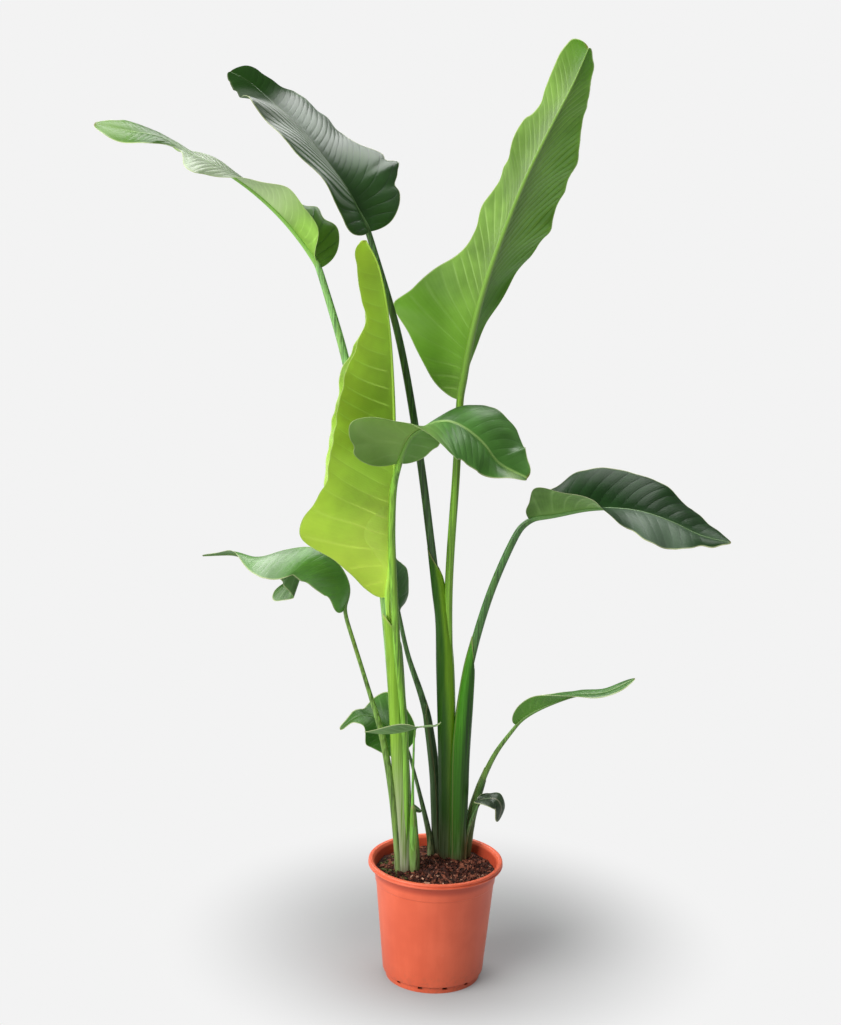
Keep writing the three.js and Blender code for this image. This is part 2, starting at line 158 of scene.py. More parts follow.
def meshFrom(name, points, faces, paints, faceSlots=None, places=None, sharpAngle=50):
    # Vertices and quads as a smooth-shaded object. A quad with a corner twice over is a triangle at a pole.
    # All faces are turned round if they enclose a negative volume.
    points = np.asarray(points, float)
    first, second, third, fourth = (points[faces[:, corner]] for corner in range(4))
    if np.sum(first * (np.cross(second, third) + np.cross(third, fourth))) < 0:
        faces = faces[:, ::-1]
    keep = faces != np.roll(faces, -1, axis=1)
    loops = faces[keep]
    totals = keep.sum(axis=1)
    starts = np.concatenate([[0], np.cumsum(totals)[:-1]])
    mesh = bpy.data.meshes.new(name)
    mesh.vertices.add(len(points))
    mesh.vertices.foreach_set("co", points.ravel())
    mesh.loops.add(len(loops))
    mesh.loops.foreach_set("vertex_index", loops.astype(np.int32))
    mesh.polygons.add(len(faces))
    mesh.polygons.foreach_set("loop_start", starts.astype(np.int32))
    mesh.polygons.foreach_set("loop_total", totals.astype(np.int32))
    if faceSlots is not None:
        mesh.polygons.foreach_set("material_index", faceSlots.astype(np.int32))
    mesh.polygons.foreach_set("use_smooth", np.ones(len(faces), bool))
    mesh.update(calc_edges=True)
    mesh.validate()
    mesh.set_sharp_from_angle(angle=math.radians(sharpAngle))
    for label, values in (places or {}).items():
        layer = mesh.attributes.new(label, "FLOAT_VECTOR", "POINT")
        layer.data.foreach_set("vector", np.asarray(values, float).ravel())
    for paint in paints:
        mesh.materials.append(paint)
    piece = bpy.data.objects.new(name, mesh)
    bpy.context.scene.collection.objects.link(piece)
    return piece


def finishPiece(piece, slotName, *nodes):
    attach(piece, rootBody)
    if nodes:
        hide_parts(*nodes)


# Shader helpers


def feed(socket, source):  # a link or a plain value into one socket
    if isinstance(source, Wire):
        socket.id_data.links.new(source.socket, socket)
    else:
        socket.default_value = source


class Wire:  # a shader socket that arithmetic works on
    def __init__(self, socket):
        self.socket = socket

    def maths(self, operation, *parts):
        node = self.socket.id_data.nodes.new("ShaderNodeMath")
        node.operation = operation
        for socket, part in zip(node.inputs, parts):
            feed(socket, part)
        return Wire(node.outputs[0])

    def __add__(self, other):
        return self.maths("ADD", self, other)

    def __sub__(self, other):
        return self.maths("SUBTRACT", self, other)

    def __rsub__(self, other):
        return self.maths("SUBTRACT", other, self)

    def __mul__(self, other):
        return self.maths("MULTIPLY", self, other)

    def __truediv__(self, other):
        return self.maths("DIVIDE", self, other)

    def __pow__(self, other):
        return self.maths("POWER", self, other)

    __radd__ = __add__
    __rmul__ = __mul__

    def size(self):
        return self.maths("ABSOLUTE", self)

    def wave(self):
        return self.maths("SINE", self)

    def fraction(self):
        return self.maths("FRACT", self)


class Paint:  # a material, with one way to add any node
    def __init__(self, name):
        self.material = bpy.data.materials.new(name)
        self.material.use_nodes = True
        self.nodes = self.material.node_tree.nodes
        self.nodes.clear()

    def add(self, kind, settings=None, sockets=None, output=0):
        node = self.nodes.new("ShaderNode" + kind)
        for key, value in (settings or {}).items():
            setattr(node, key, value)
        for key, value in (sockets or {}).items():
            feed(node.inputs[key], value)
        return Wire(node.outputs[output])

    def rise(self, value, low, high):
        settings = {"interpolation_type": "SMOOTHSTEP"}
        return self.add("MapRange", settings, {"Value": value, "From Min": low, "From Max": high})

    def mix(self, share, one, other):
        return self.add("Mix", {"data_type": "RGBA"}, {0: share, 6: one, 7: other}, 2)

    def tint(self, tone, share, colour):  # a screen colour laid over a tone
        return self.mix(share, tone, linear(colour))

    def parts(self, vector):
        node = self.add("SeparateXYZ", {}, {0: vector}).socket.node
        return [Wire(output) for output in node.outputs]

    def vector(self, x, y, z):
        return self.add("CombineXYZ", {}, {0: x, 1: y, 2: z})

    def attribute(self, name):
        return self.parts(self.add("Attribute", {"attribute_name": name}, {}, "Vector"))

    def place(self, scale=(1, 1, 1)):
        where = self.add("TexCoord", {}, {}, "Object")
        return self.add("Mapping", {}, {"Vector": where, "Scale": scale})

    def noise(self, where, scale, detail=3.0, rough=0.55):
        sockets = {"Vector": where, "Scale": scale, "Detail": detail, "Roughness": rough}
        return self.add("TexNoise", {}, sockets)

    def bump(self, height):
        return self.add("Bump", {}, {"Strength": 1.0, "Distance": 1.0, "Height": height})

    def skin(self, tone, rough, bump, shine):
        sockets = {"Base Color": tone, "Roughness": rough, "Normal": bump, "Specular IOR Level": shine}
        return self.add("BsdfPrincipled", {}, sockets)

    def blend(self, share, one, other):
        return self.add("MixShader", {}, {0: share, 1: one, 2: other})

    def end(self, shader):
        feed(self.nodes.new("ShaderNodeOutputMaterial").inputs["Surface"], shader)
        return self.material


# Studio

studio = {
    "skyReach": 9.0, "floorReach": 4.0, "floorThick": 0.02, "patchShadeGrey": 0.28,
    "mattWithin": 0.1, "lightBeyond": 0.55, "patchMiddle": (0.03, 0.17, 0.0),
    "backLight": 0.896, "worldStrength": 0.22, "sides": 96, "skyRows": 24, "floorRows": 40, "hub": 0.02,
}


def evenLight(paint):  # the light of the surroundings, the same in every direction
    return paint.add("Emission", {}, {"Color": (studio["backLight"],) * 3 + (1,), "Strength": 1.0})


def skyPaint():
    paint = Paint("studioSky")
    return paint.end(evenLight(paint))


def floorPaint():
    # A darker matt patch under the plant, where its shadow falls and painted shade deepens it, and the light
    # of the surroundings further out
    paint = Paint("studioFloor")
    where = paint.place()
    fromPatch = paint.add("VectorMath", {"operation": "SUBTRACT"}, {0: where, 1: studio["patchMiddle"]})
    reach = paint.add("VectorMath", {"operation": "LENGTH"}, {0: fromPatch}, "Value")
    white = studio["patchShadeGrey"]
    dim, bright = (white * 0.98, white * 0.99, white, 1), (white, white * 1.01, white * 1.02, 1)
    matt = paint.add("BsdfDiffuse", {}, {"Color": paint.mix(paint.noise(where, 0.7, 2.0), dim, bright)})
    share = paint.rise(reach, studio["mattWithin"], studio["lightBeyond"])
    return paint.end(paint.blend(share, matt, evenLight(paint)))


lean = np.linspace(0, math.pi, studio["skyRows"] + 2)[1:-1]
skyRings = circles(studio["skyReach"] * np.sin(lean), studio["skyReach"] * np.cos(lean), studio["sides"])
skyPoints, skyFaces = sweptGrid(skyRings)
sky = meshFrom("studioSky", skyPoints, skyFaces, [skyPaint()], sharpAngle=180)
for rays in ("visible_diffuse", "visible_glossy", "visible_transmission", "visible_shadow"):
    setattr(sky, rays, False)
floorReach = np.linspace(studio["hub"], 1, studio["floorRows"]) * studio["floorReach"]
floorHeight = np.append(0 * floorReach, -studio["floorThick"])
floorRings = circles(np.append(floorReach, studio["hub"]), floorHeight, studio["sides"])
floorPoints, floorFaces = sweptGrid(floorRings)
floor = meshFrom("studioFloor", floorPoints, floorFaces, [floorPaint()], sharpAngle=30)

world = bpy.data.worlds.new("studioWorld")
bpy.context.scene.world = world
world.use_nodes = True
world.node_tree.nodes["Background"].inputs["Color"].default_value = (1, 1, 1, 1)
world.node_tree.nodes["Background"].inputs["Strength"].default_value = studio["worldStrength"]

lamps = {
    "keyLamp": {
        "place": (-3, -2.4, 2.8), "aim": (0, 0, 0.8), "size": 3.2, "watts": 285, "tint": (1, 0.995, 0.98),
    },
    "topLamp": {"place": (0.4, 1.6, 3.7), "aim": (0, 0.2, 1), "size": 2.6, "watts": 130, "tint": (1, 1, 1)},
    "rearLamp": {"place": (-2.4, 3.2, 3), "aim": (0, 0, 1), "size": 2.4, "watts": 80, "tint": (1, 1, 0.98)},
}
for lampName, lamp in lamps.items():
    lampData = bpy.data.lights.new(lampName, "AREA")
    lampData.shape = "RECTANGLE"
    lampData.size = lampData.size_y = lamp["size"]
    lampData.energy = lamp["watts"]
    lampData.color = lamp["tint"]
    lampObject = bpy.data.objects.new(lampName, lampData)
    lampObject.location = lamp["place"]
    lampObject.rotation_mode = "QUATERNION"
    lampObject.rotation_quaternion = (Vector(lamp["aim"]) - Vector(lamp["place"])).to_track_quat("-Z", "Y")
    lampObject.visible_camera = False
    bpy.context.scene.collection.objects.link(lampObject)
print("studio lit")

# Leaves. A stalk row is x, y, z and radius, and a blade row x, y, z, then the width and fold angle of the left
# half and of the right half, in millimetres and degrees, from base to tip. A trim is 21 evenly spaced factors
# of a half's width. A nick is its place along the midrib, its side, its amount and its spread. A tint and
# sheen band is a band of colour: its middle and spread along the midrib, its side or 0 for both, its strength
# and its colour. Some bands are the leaf's own tints and some are painted light: painted sheen, painted
# shade and the painted glow of light through the blade. ribTone darkens one flank of each rib with painted
# shade, and ribGlint paints highlights on the rib tops in glintTone. Values in pairs are for the left half
# and the right half.

leaves = {
    "far_left_leaf": {
        "upperSide": 1, "clear": 0.4,
        "stalk": [
            [-66, 1, 145, 5], [-66, 1, 200, 6], [-74, 8, 385, 6.8], [-93, 14, 601, 6.8], [-115, 26, 775, 7],
            [-143, 40, 922, 7.2], [-176, 52, 1093, 7], [-227, 57, 1260, 5.6],
        ],
        "blade": [
            [-224, 58, 1256, 0, 110, 0, -30], [-253, 52, 1299, 70, 115, 80, -40],
            [-292, 46, 1344, 85, 120, 85, -70], [-340, 38, 1386, 75, 105, 95, -95],
            [-393, 26, 1421, 90, 80, 85, -90], [-439, 14, 1442, 60, 80, 75, -95],
            [-487, 2, 1468, 55, 80, 65, -90], [-538, -8, 1477, 45, 65, 45, -70],
            [-591, -16, 1488, 0, 65, 0, -70],
        ],
        "trimLeft": [
            0.1, 0.15, 0.57, 1.3, 1.22, 1.1, 0.93, 0.85, 0.8, 0.8, 0.95, 1.2, 1.2, 0.35, 0.5, 0.95, 1.05, 1,
            1, 1, 1,
        ],
        "trimRight": [
            1, 0.97, 0.98, 0.85, 0.75, 0.8, 0.9, 0.9, 1, 1, 0.8, 1, 1, 1, 0.8, 0.9, 1, 1, 0.8, 0.7, 0.5,
        ],
        "nicks": [(0.135, 1, -0.1, 0.02), (0.17, 1, 0.12, 0.015)], "pleats": (0.5, 0.7),
        # The two pale bands are painted highlight.
        "tintAndSheenBands": [
            (0.5, 0.26, 0, 0.95, (232, 240, 220)), (0.3, 0.14, -1, 0.6, (226, 240, 196)),
            (0.95, 0.18, 0, 0.9, (108, 158, 36)),
        ],
        "top": (56, 92, 36), "under": (150, 198, 78), "glow": (170, 205, 110), "stem": (110, 156, 86),
    },
    "dark_top_leaf": {
        "upperSide": 1,
        "stalk": [
            [15, 49, 145, 5.5], [15, 49, 200, 6.4], [8, 56, 424, 6.8], [-2, 56, 620, 7.2], [-27, 50, 808, 7],
            [-52, 46, 967, 6.6], [-89, 46, 1147, 6.2], [-144.5, 48.5, 1324, 5.2],
        ],
        "blade": [
            [-142, 48, 1320, 0, 60, 0, -40], [-180, 58, 1388, 85, 75, 125, -45],
            [-225, 74, 1444, 110, 80, 110, -65], [-266, 94, 1490, 105, 80, 125, -70],
            [-308, 116, 1525, 90, 75, 110, -70], [-353, 142, 1561, 60, 65, 70, -70],
            [-389, 160, 1579, 0, 60, 0, -60],
        ],
        "trimLeft": [
            1.3, 1.3, 1.05, 1.1, 1.08, 1.15, 1.2, 1.22, 1.28, 1.42, 1.38, 1.24, 1.12, 1.02, 0.9, 0.8, 0.74,
            0.65, 0.6, 0.55, 0.5,
        ],
        "trimRight": [
            1, 0.93, 0.96, 0.98, 0.95, 0.85, 0.85, 0.97, 1, 1, 0.98, 0.98, 0.9, 0.82, 0.87, 0.85, 0.98, 1.1,
            1.3, 1.3, 1,
        ],
        "nicks": [(0.165, 1, 0.1, 0.01), (0.183, 1, -0.07, 0.008), (0.127, 1, -0.1, 0.013)],
        # Painted light on this leaf: ribTone shades one flank of each rib, ribGlint paints highlights on the
        # left half's rib tops in glintTone, the two grey bands are painted sheen, and the darker, shineless
        # tip is painted shade.
        "pleats": (2.4, 0.5), "ribLean": (0.6, 0.35), "ribTone": (1.4, 0.3), "ribGlint": (0.85, 0),
        "glintTone": (186, 194, 182),
        "tintAndSheenBands": [(0.45, 0.28, 1, 0.35, (168, 178, 168)), (0.5, 0.3, -1, 0.4, (176, 182, 172))],
        "dull": (0.64, 0.74, (28, 56, 16)), "matt": (0.7, 0.8, 0.6), "top": (44, 76, 34),
        "under": (98, 136, 66), "glow": (95, 150, 35), "stem": (52, 82, 40),
    },
    "tall_right_leaf": {
        "upperSide": -1,
        "stalk": [
            [28, 48, 145, 5.5], [28, 48, 200, 6.4], [22, 46, 425, 7], [10, 47, 683, 7.2], [17, 49, 915, 6.8],
            [19.5, 49.5, 1044, 6.4],
        ],
        "blade": [
            [19, 50, 1038, 0, -40, 0, -80], [33, 30, 1140, 155, -35, 85, -75],
            [53, 8, 1231, 120, -60, 130, -60], [80, -16, 1321, 150, -75, 140, -55],
            [113, -46, 1416, 120, -70, 120, -55], [149, -80, 1501, 85, -65, 100, -60],
            [178, -108, 1565, 75, -60, 75, -60], [200, -130, 1623, 0, -55, 0, -50],
        ],
        "trimLeft": [
            0.7, 0.73, 0.79, 1.02, 0.93, 0.9, 0.83, 0.82, 0.87, 0.93, 0.9, 0.81, 0.97, 0.82, 0.87, 0.9, 0.97,
            0.93, 0.98, 1.1, 1,
        ],
        "trimRight": [
            1, 0.95, 0.85, 0.93, 1, 1.08, 1.03, 0.98, 0.94, 0.99, 1.02, 0.98, 1, 0.91, 0.93, 0.77, 0.72, 0.63,
            0.64, 0.51, 0.4,
        ],
        "nicks": [(0.147, -1, 0.08, 0.013), (0.178, -1, -0.035, 0.014), (0.121, -1, -0.045, 0.016)],
        # Painted light on the ribs: ribTone shades one flank of each rib, strongly on the right half, and
        # ribGlint paints pale highlights on the right half's rib tops.
        "pleats": (1.2, 2.2), "ribPitch": 18, "ribLean": (0.3, 0.7), "ribTone": (0.8, 1.7), "ribShare": 0.9,
        "ribGlint": (0, 0.75), "glintTone": (150, 182, 122),
        "tintAndSheenBands": [
            (0.13, 0.16, -1, 0.5, (112, 168, 26)), (0.2, 0.2, 1, 0.85, (46, 80, 22)),
            (1, 0.2, 0, 1, (70, 118, 6)),
        ],
        "shine": 0.18, "top": (56, 98, 34), "under": (122, 158, 70), "glow": (150, 205, 45),
        "stem": (98, 142, 36),
    },
    "folded_middle_leaf": {
        "upperSide": -1, "clear": 0.55,
        "stalk": [
            [-52, -6, 145, 5], [-52, -6, 200, 6], [-72, -6, 440, 6.6], [-85, -6, 605, 6.4],
            [-96.8, -4.2, 704, 5.6],
        ],
        "blade": [
            [-97, -4, 699, 0, 20, 0, -160], [-93, -8, 819, 160, 15, 140, -170],
            [-91, -13, 942, 125, 35, 125, -160], [-95, -20, 1062, 85, 30, 95, -145],
            [-105, -30, 1181, 65, 45, 75, -130], [-122, -40, 1267, 40, 30, 40, -135],
            [-144, -48, 1312, 0, 25, 0, -130],
        ],
        "trimLeft": [
            0.5, 0.53, 0.68, 1, 0.87, 0.82, 0.94, 0.97, 1.05, 1.06, 1.08, 1.02, 0.96, 0.79, 0.83, 0.88, 0.96,
            0.98, 1.12, 1.3, 1.5,
        ],
        "trimRight": [
            0.6, 0.65, 0.82, 0.95, 0.84, 0.87, 0.905, 0.97, 0.96, 1.02, 1.09, 1, 0.8, 0.73, 0.85, 0.85, 0.85,
            0.88, 1, 1.15, 1.3,
        ],
        "pleats": (0.35, 0.5), "ribPitch": 28, "ribLine": 0.3, "relief": 0.6, "veins": 0.75,
        # All three bright bands are painted glow, standing in for light shining through the blade.
        "tintAndSheenBands": [
            (0, 0.37, 0, 1, (240, 255, 112)), (0.9, 0.14, -1, 0.6, (196, 226, 70)),
            (1, 0.12, 0, 0.6, (200, 236, 70)),
        ],
        "top": (146, 182, 74), "under": (168, 204, 74), "glow": (210, 232, 120), "stem": (140, 186, 60),
    },
    "twisted_middle_leaf": {
        "upperSide": -1, "ripple": 0.07,
        "stalk": [
            [-52, -19, 145, 5], [-52, -19, 200, 6], [-60, -20, 446, 6.6], [-77, -23, 610, 6.6],
            [-89, -30, 771, 6.6], [-91, -35, 842, 6], [-89, -40, 904, 6], [-79, -47, 948, 4.8],
        ],
        "blade": [
            [-81, -46, 943, 0, 50, 0, -40], [-65, -55, 987, 120, 40, 65, -40],
            [-36, -62, 1011, 95, 96, 65, -75], [-3, -67, 1019, 95, 119, 95, -100],
            [27, -70, 1008, 85, 117, 90, -120], [58, -72, 983, 70, 115, 80, -130],
            [85, -76, 951, 45, 105, 55, -135], [132, -84, 929, 0, 100, 0, -130],
        ],
        "trimLeft": [1, 1, 1.05, 1.03, 0.62, 0.8, 1.12, 1.22, 1.18, 1.1, 1.04, 1, 1, 1, 1, 1, 1, 1, 1, 1, 1],
        "trimRight": [
            1, 1.08, 1, 1, 1, 1, 0.85, 0.75, 0.78, 0.88, 1, 1, 1, 1.02, 1.13, 1.15, 1.1, 1.1, 1.08, 1, 1,
        ],
        "nicks": [
            (0.1, -1, -0.07, 0.012), (0.14, -1, 0.06, 0.012), (0.185, -1, -0.07, 0.012),
            (0.225, -1, 0.05, 0.012), (0.27, -1, -0.06, 0.012), (0.32, -1, 0.05, 0.014),
        ],
        "pleats": (0.35, 0.35), "ribPitch": 16, "relief": 0.45, "midrib": 3.2,
        # The dark band on the right half is painted shade.
        "tintAndSheenBands": [
            (0.15, 0.3, -1, 0.95, (164, 200, 104)), (0.4, 0.14, 1, 0.75, (44, 78, 30)),
            (0.93, 0.07, -1, 0.9, (160, 190, 120)),
        ],
        "shine": 0.35, "top": (86, 138, 60), "under": (112, 152, 74), "glow": (125, 180, 50),
        "stem": (98, 146, 40),
    },
    "left_side_leaf": {
        "upperSide": 1,
        "stalk": [
            [-65, -20, 145, 5], [-65, -20, 200, 6], [-79, -18, 334, 6], [-99, -6, 444, 6], [-126, 12, 526, 4],
            [-174, 41, 663, 3.6],
        ],
        "blade": [
            [-175, 42, 658, 0, 60, 0, -100], [-163, 40, 702, 55, 40, 45, -140],
            [-185, 38, 747, 75, 40, 90, -160], [-227, 38, 773, 75, 55, 85, -170],
            [-276, 42, 767, 85, 75, 85, -185], [-322, 50, 751, 45, 90, 65, -140],
            [-365, 62, 752, 28, 111, 30, -115], [-425, 78, 744, 0, 115, 0, -105],
        ],
        "trimRight": [
            1, 1, 1, 1, 1, 1, 1.12, 1.34, 1.46, 1.2, 1.02, 0.8, 0.62, 0.6, 0.7, 0.85, 1, 1, 1, 1, 1,
        ],
        # The grey band on the left half is painted sheen.
        "pleats": (0.3, 0.3), "ribPitch": 14, "relief": 0.4, "tintAndSheenBands": [(0.6, 0.2, -1, 0.5, (178, 178, 178))],
        "rough": 0.26, "top": (100, 156, 68), "under": (106, 144, 84), "glow": (115, 170, 55),
        "stem": (86, 120, 46),
    },
    "right_side_leaf": {
        "upperSide": 1,
        "stalk": [
            [42, 43, 145, 5.5], [42, 43, 200, 6.6], [39, 41, 428, 8.6], [47, 40, 549, 8], [79, 40, 687, 7],
            [124, 38, 805, 6.2], [150, 35.5, 836, 5],
        ],
        "blade": [
            [145, 36, 835, 0, -50, 0, 140], [191, 30, 845, 75, -60, 75, 135],
            [242, 22, 858, 90, -50, 95, 110], [289, 12, 863, 90, -60, 75, 80], [338, 0, 860, 90, -65, 85, 70],
            [387, -10, 846, 75, -70, 60, 60], [437, -22, 826, 50, -75, 40, 70],
            [486, -30, 817, 0, -75, 0, 75],
        ],
        "trimLeft": [1, 0.95, 0.9, 0.95, 1.08, 1, 0.99, 1, 1, 1, 1, 1, 1, 1, 1, 1, 0.97, 0.97, 0.9, 0.7, 0.5],
        "trimRight": [
            1, 0.95, 1.35, 1.25, 1, 0.9, 0.9, 0.8, 1.1, 1, 0.87, 1, 1.03, 1.07, 1.1, 1.17, 1.06, 0.73, 0.8,
            0.6, 0.5,
        ],
        "pleats": (0.6, 0.4), "ribPitch": 20, "ribTone": (1.3, 0.6), "relief": 0.5,
        # The pale grey-green band on the right half is painted sheen.
        "tintAndSheenBands": [(0.62, 0.32, 1, 0.6, (132, 150, 132))], "shine": 0.18, "top": (24, 56, 20),
        "under": (124, 164, 86), "glow": (90, 150, 40), "stem": (58, 100, 44),
    },
    "hidden_back_leaf": {
        "upperSide": 1,
        "stalk": [
            [6, 60, 145, 5.5], [6, 60, 200, 6.5], [-5, 72, 349, 7.6], [-25, 80, 469, 6.4],
            [-59, 88, 569, 4.4], [-78.5, 97, 649, 3.6],
        ],
        "blade": [
            [-77, 96, 644, 0, 75, 0, -60], [-89, 106, 687, 45, 50, 45, -55],
            [-108, 120, 748, 70, 50, 65, -65], [-133, 140, 812, 60, 60, 60, -70],
            [-168, 176, 868, 0, 65, 0, -70],
        ],
        "trimRight": [
            0.4, 0.5, 0.95, 1.12, 1.1, 1.1, 1.04, 0.8, 0.55, 0.5, 0.55, 0.62, 0.7, 0.8, 0.9, 1, 1, 1, 1, 1, 1,
        ],
        "pleats": (0.3, 0.3), "top": (68, 104, 58), "under": (84, 118, 68), "glow": (80, 140, 50),
        "stem": (64, 96, 50),
    },
    "low_right_leaf": {
        "upperSide": 1,
        "stalk": [
            [54, 58, 145, 5], [54, 58, 200, 6], [67, 57, 300, 6.4], [98, 54, 391, 4.6], [141, 49.5, 459.5, 3],
        ],
        "blade": [
            [137, 50, 456, 0, -40, 0, 140], [161, 47, 478, 32, -60, 34, 150],
            [196, 44, 498, 38, -90, 40, 130], [243, 40, 517, 36, -95, 36, 100],
            [293, 34, 526, 26, -90, 28, 95], [342, 28, 554, 0, -95, 0, 90],
        ],
        "pleats": (0.4, 0.4), "tintAndSheenBands": [(0.1, 0.4, 0, 0.7, (104, 162, 50))], "top": (66, 110, 42),
        "under": (92, 134, 60), "glow": (100, 170, 40), "stem": (82, 120, 40),
    },
    "curled_right_leaf": {
        "upperSide": 1,
        "stalk": [[53, 43, 145, 3], [53, 43, 200, 3.4], [56, 44, 250, 3.4], [76.5, 32.7, 318, 2.2]],
        "blade": [
            [72, 34, 316, 0, -60, 0, 120], [86, 30, 322, 22, -85, 32, 90], [106, 27, 323, 22, -75, 18, 45],
            [115, 25, 307, 16, -65, 14, 35], [109, 24, 282, 0, -60, 0, 35],
        ],
        "pleats": (0.2, 0.2), "top": (58, 78, 52), "under": (76, 98, 68), "glow": (80, 130, 60),
        "stem": (70, 104, 54),
    },
    "young_back_leaf": {
        "upperSide": -1,
        "stalk": [
            [-8, 55, 145, 6], [-8, 55, 200, 7], [-12, 58, 240, 5.5], [-33, 66, 322, 3.6],
            [-56, 73.3, 403, 2.4],
        ],
        "blade": [
            [-53, 74, 399, 0, 60, 0, -50], [-71, 70, 422, 50, 45, 55, -50], [-95, 67, 445, 60, 50, 70, -65],
            [-124, 65, 460, 40, 80, 35, -90], [-149, 64, 458, 15, 75, 15, -60],
            [-177, 62, 435, 0, 50, 0, -40],
        ],
        "pleats": (0.3, 0.3), "top": (62, 112, 40), "under": (64, 110, 34), "glow": (90, 170, 50),
        "stem": (62, 92, 46),
    },
    "young_front_leaf": {
        "upperSide": 1, "facing": upwards, "arch": -0.07, "ripple": 0.12,
        "stalk": [
            [-37, -17, 145, 6], [-37, -17, 200, 8], [-40, -26, 270, 6.6], [-43, -26, 322, 3.4],
            [-44, -30, 376, 2.2], [-44, -41, 478.5, 1.8],
        ],
        "blade": [
            [-44, -37, 476, 0, 8, 0, 8], [-38, -62, 485, 26, 6, 54, -4], [-33, -95, 497, 34, 4, 92, -6],
            [-30, -128, 508, 24, 8, 54, 0], [-28, -155, 516, 0, 12, 0, 6],
        ],
        "trimRight": [
            1, 0.9, 0.8, 0.75, 0.7, 0.7, 0.75, 0.8, 0.9, 1, 1.08, 1, 0.88, 0.78, 0.7, 0.65, 0.6, 0.6, 0.6,
            0.6, 0.6,
        ],
        "pleats": (0.2, 0.2), "relief": 0.4, "top": (128, 160, 104), "under": (126, 162, 104),
        "glow": (130, 180, 80), "stem": (92, 148, 48),
    },
}
bract = {
    "upperSide": 1,
    "blade": [[-27, 62, 283, 0, 40, 0, -70], [-38, 60, 290, 8, 50, 8, -75], [-50, 57, 299, 0, 60, 0, -75]],
    "top": (60, 100, 50), "under": (84, 122, 66), "glow": (80, 130, 50),
}

growth = {
    "veinLean": 0.3, "lobeReach": 0.25, "lobeEnd": 0.3, "arch": 0.08,  # how veins lean and halves arch
    "edge": 0.35 * mm, "middle": 0.5 * mm,  # half the thickness at the edge and at the midrib
    "scallop": 0.012, "scallopRuns": (0.071, 0.034), "ripple": 0.035, "rippleRuns": (0.142, 0.063),
    "step": 1.7 * mm, "half": 26, "crowding": 1.35, "crease": 3.0 * mm, "slimEnd": 0.004,
    "ribPitch": 11.8, "ribDrift": 3.0 * mm, "ribSharp": 0.7, "finePitch": 4 * mm,
    "pleat": 0.5 * mm, "curl": 2.0 * mm, "fullPleat": 30 * mm,
}


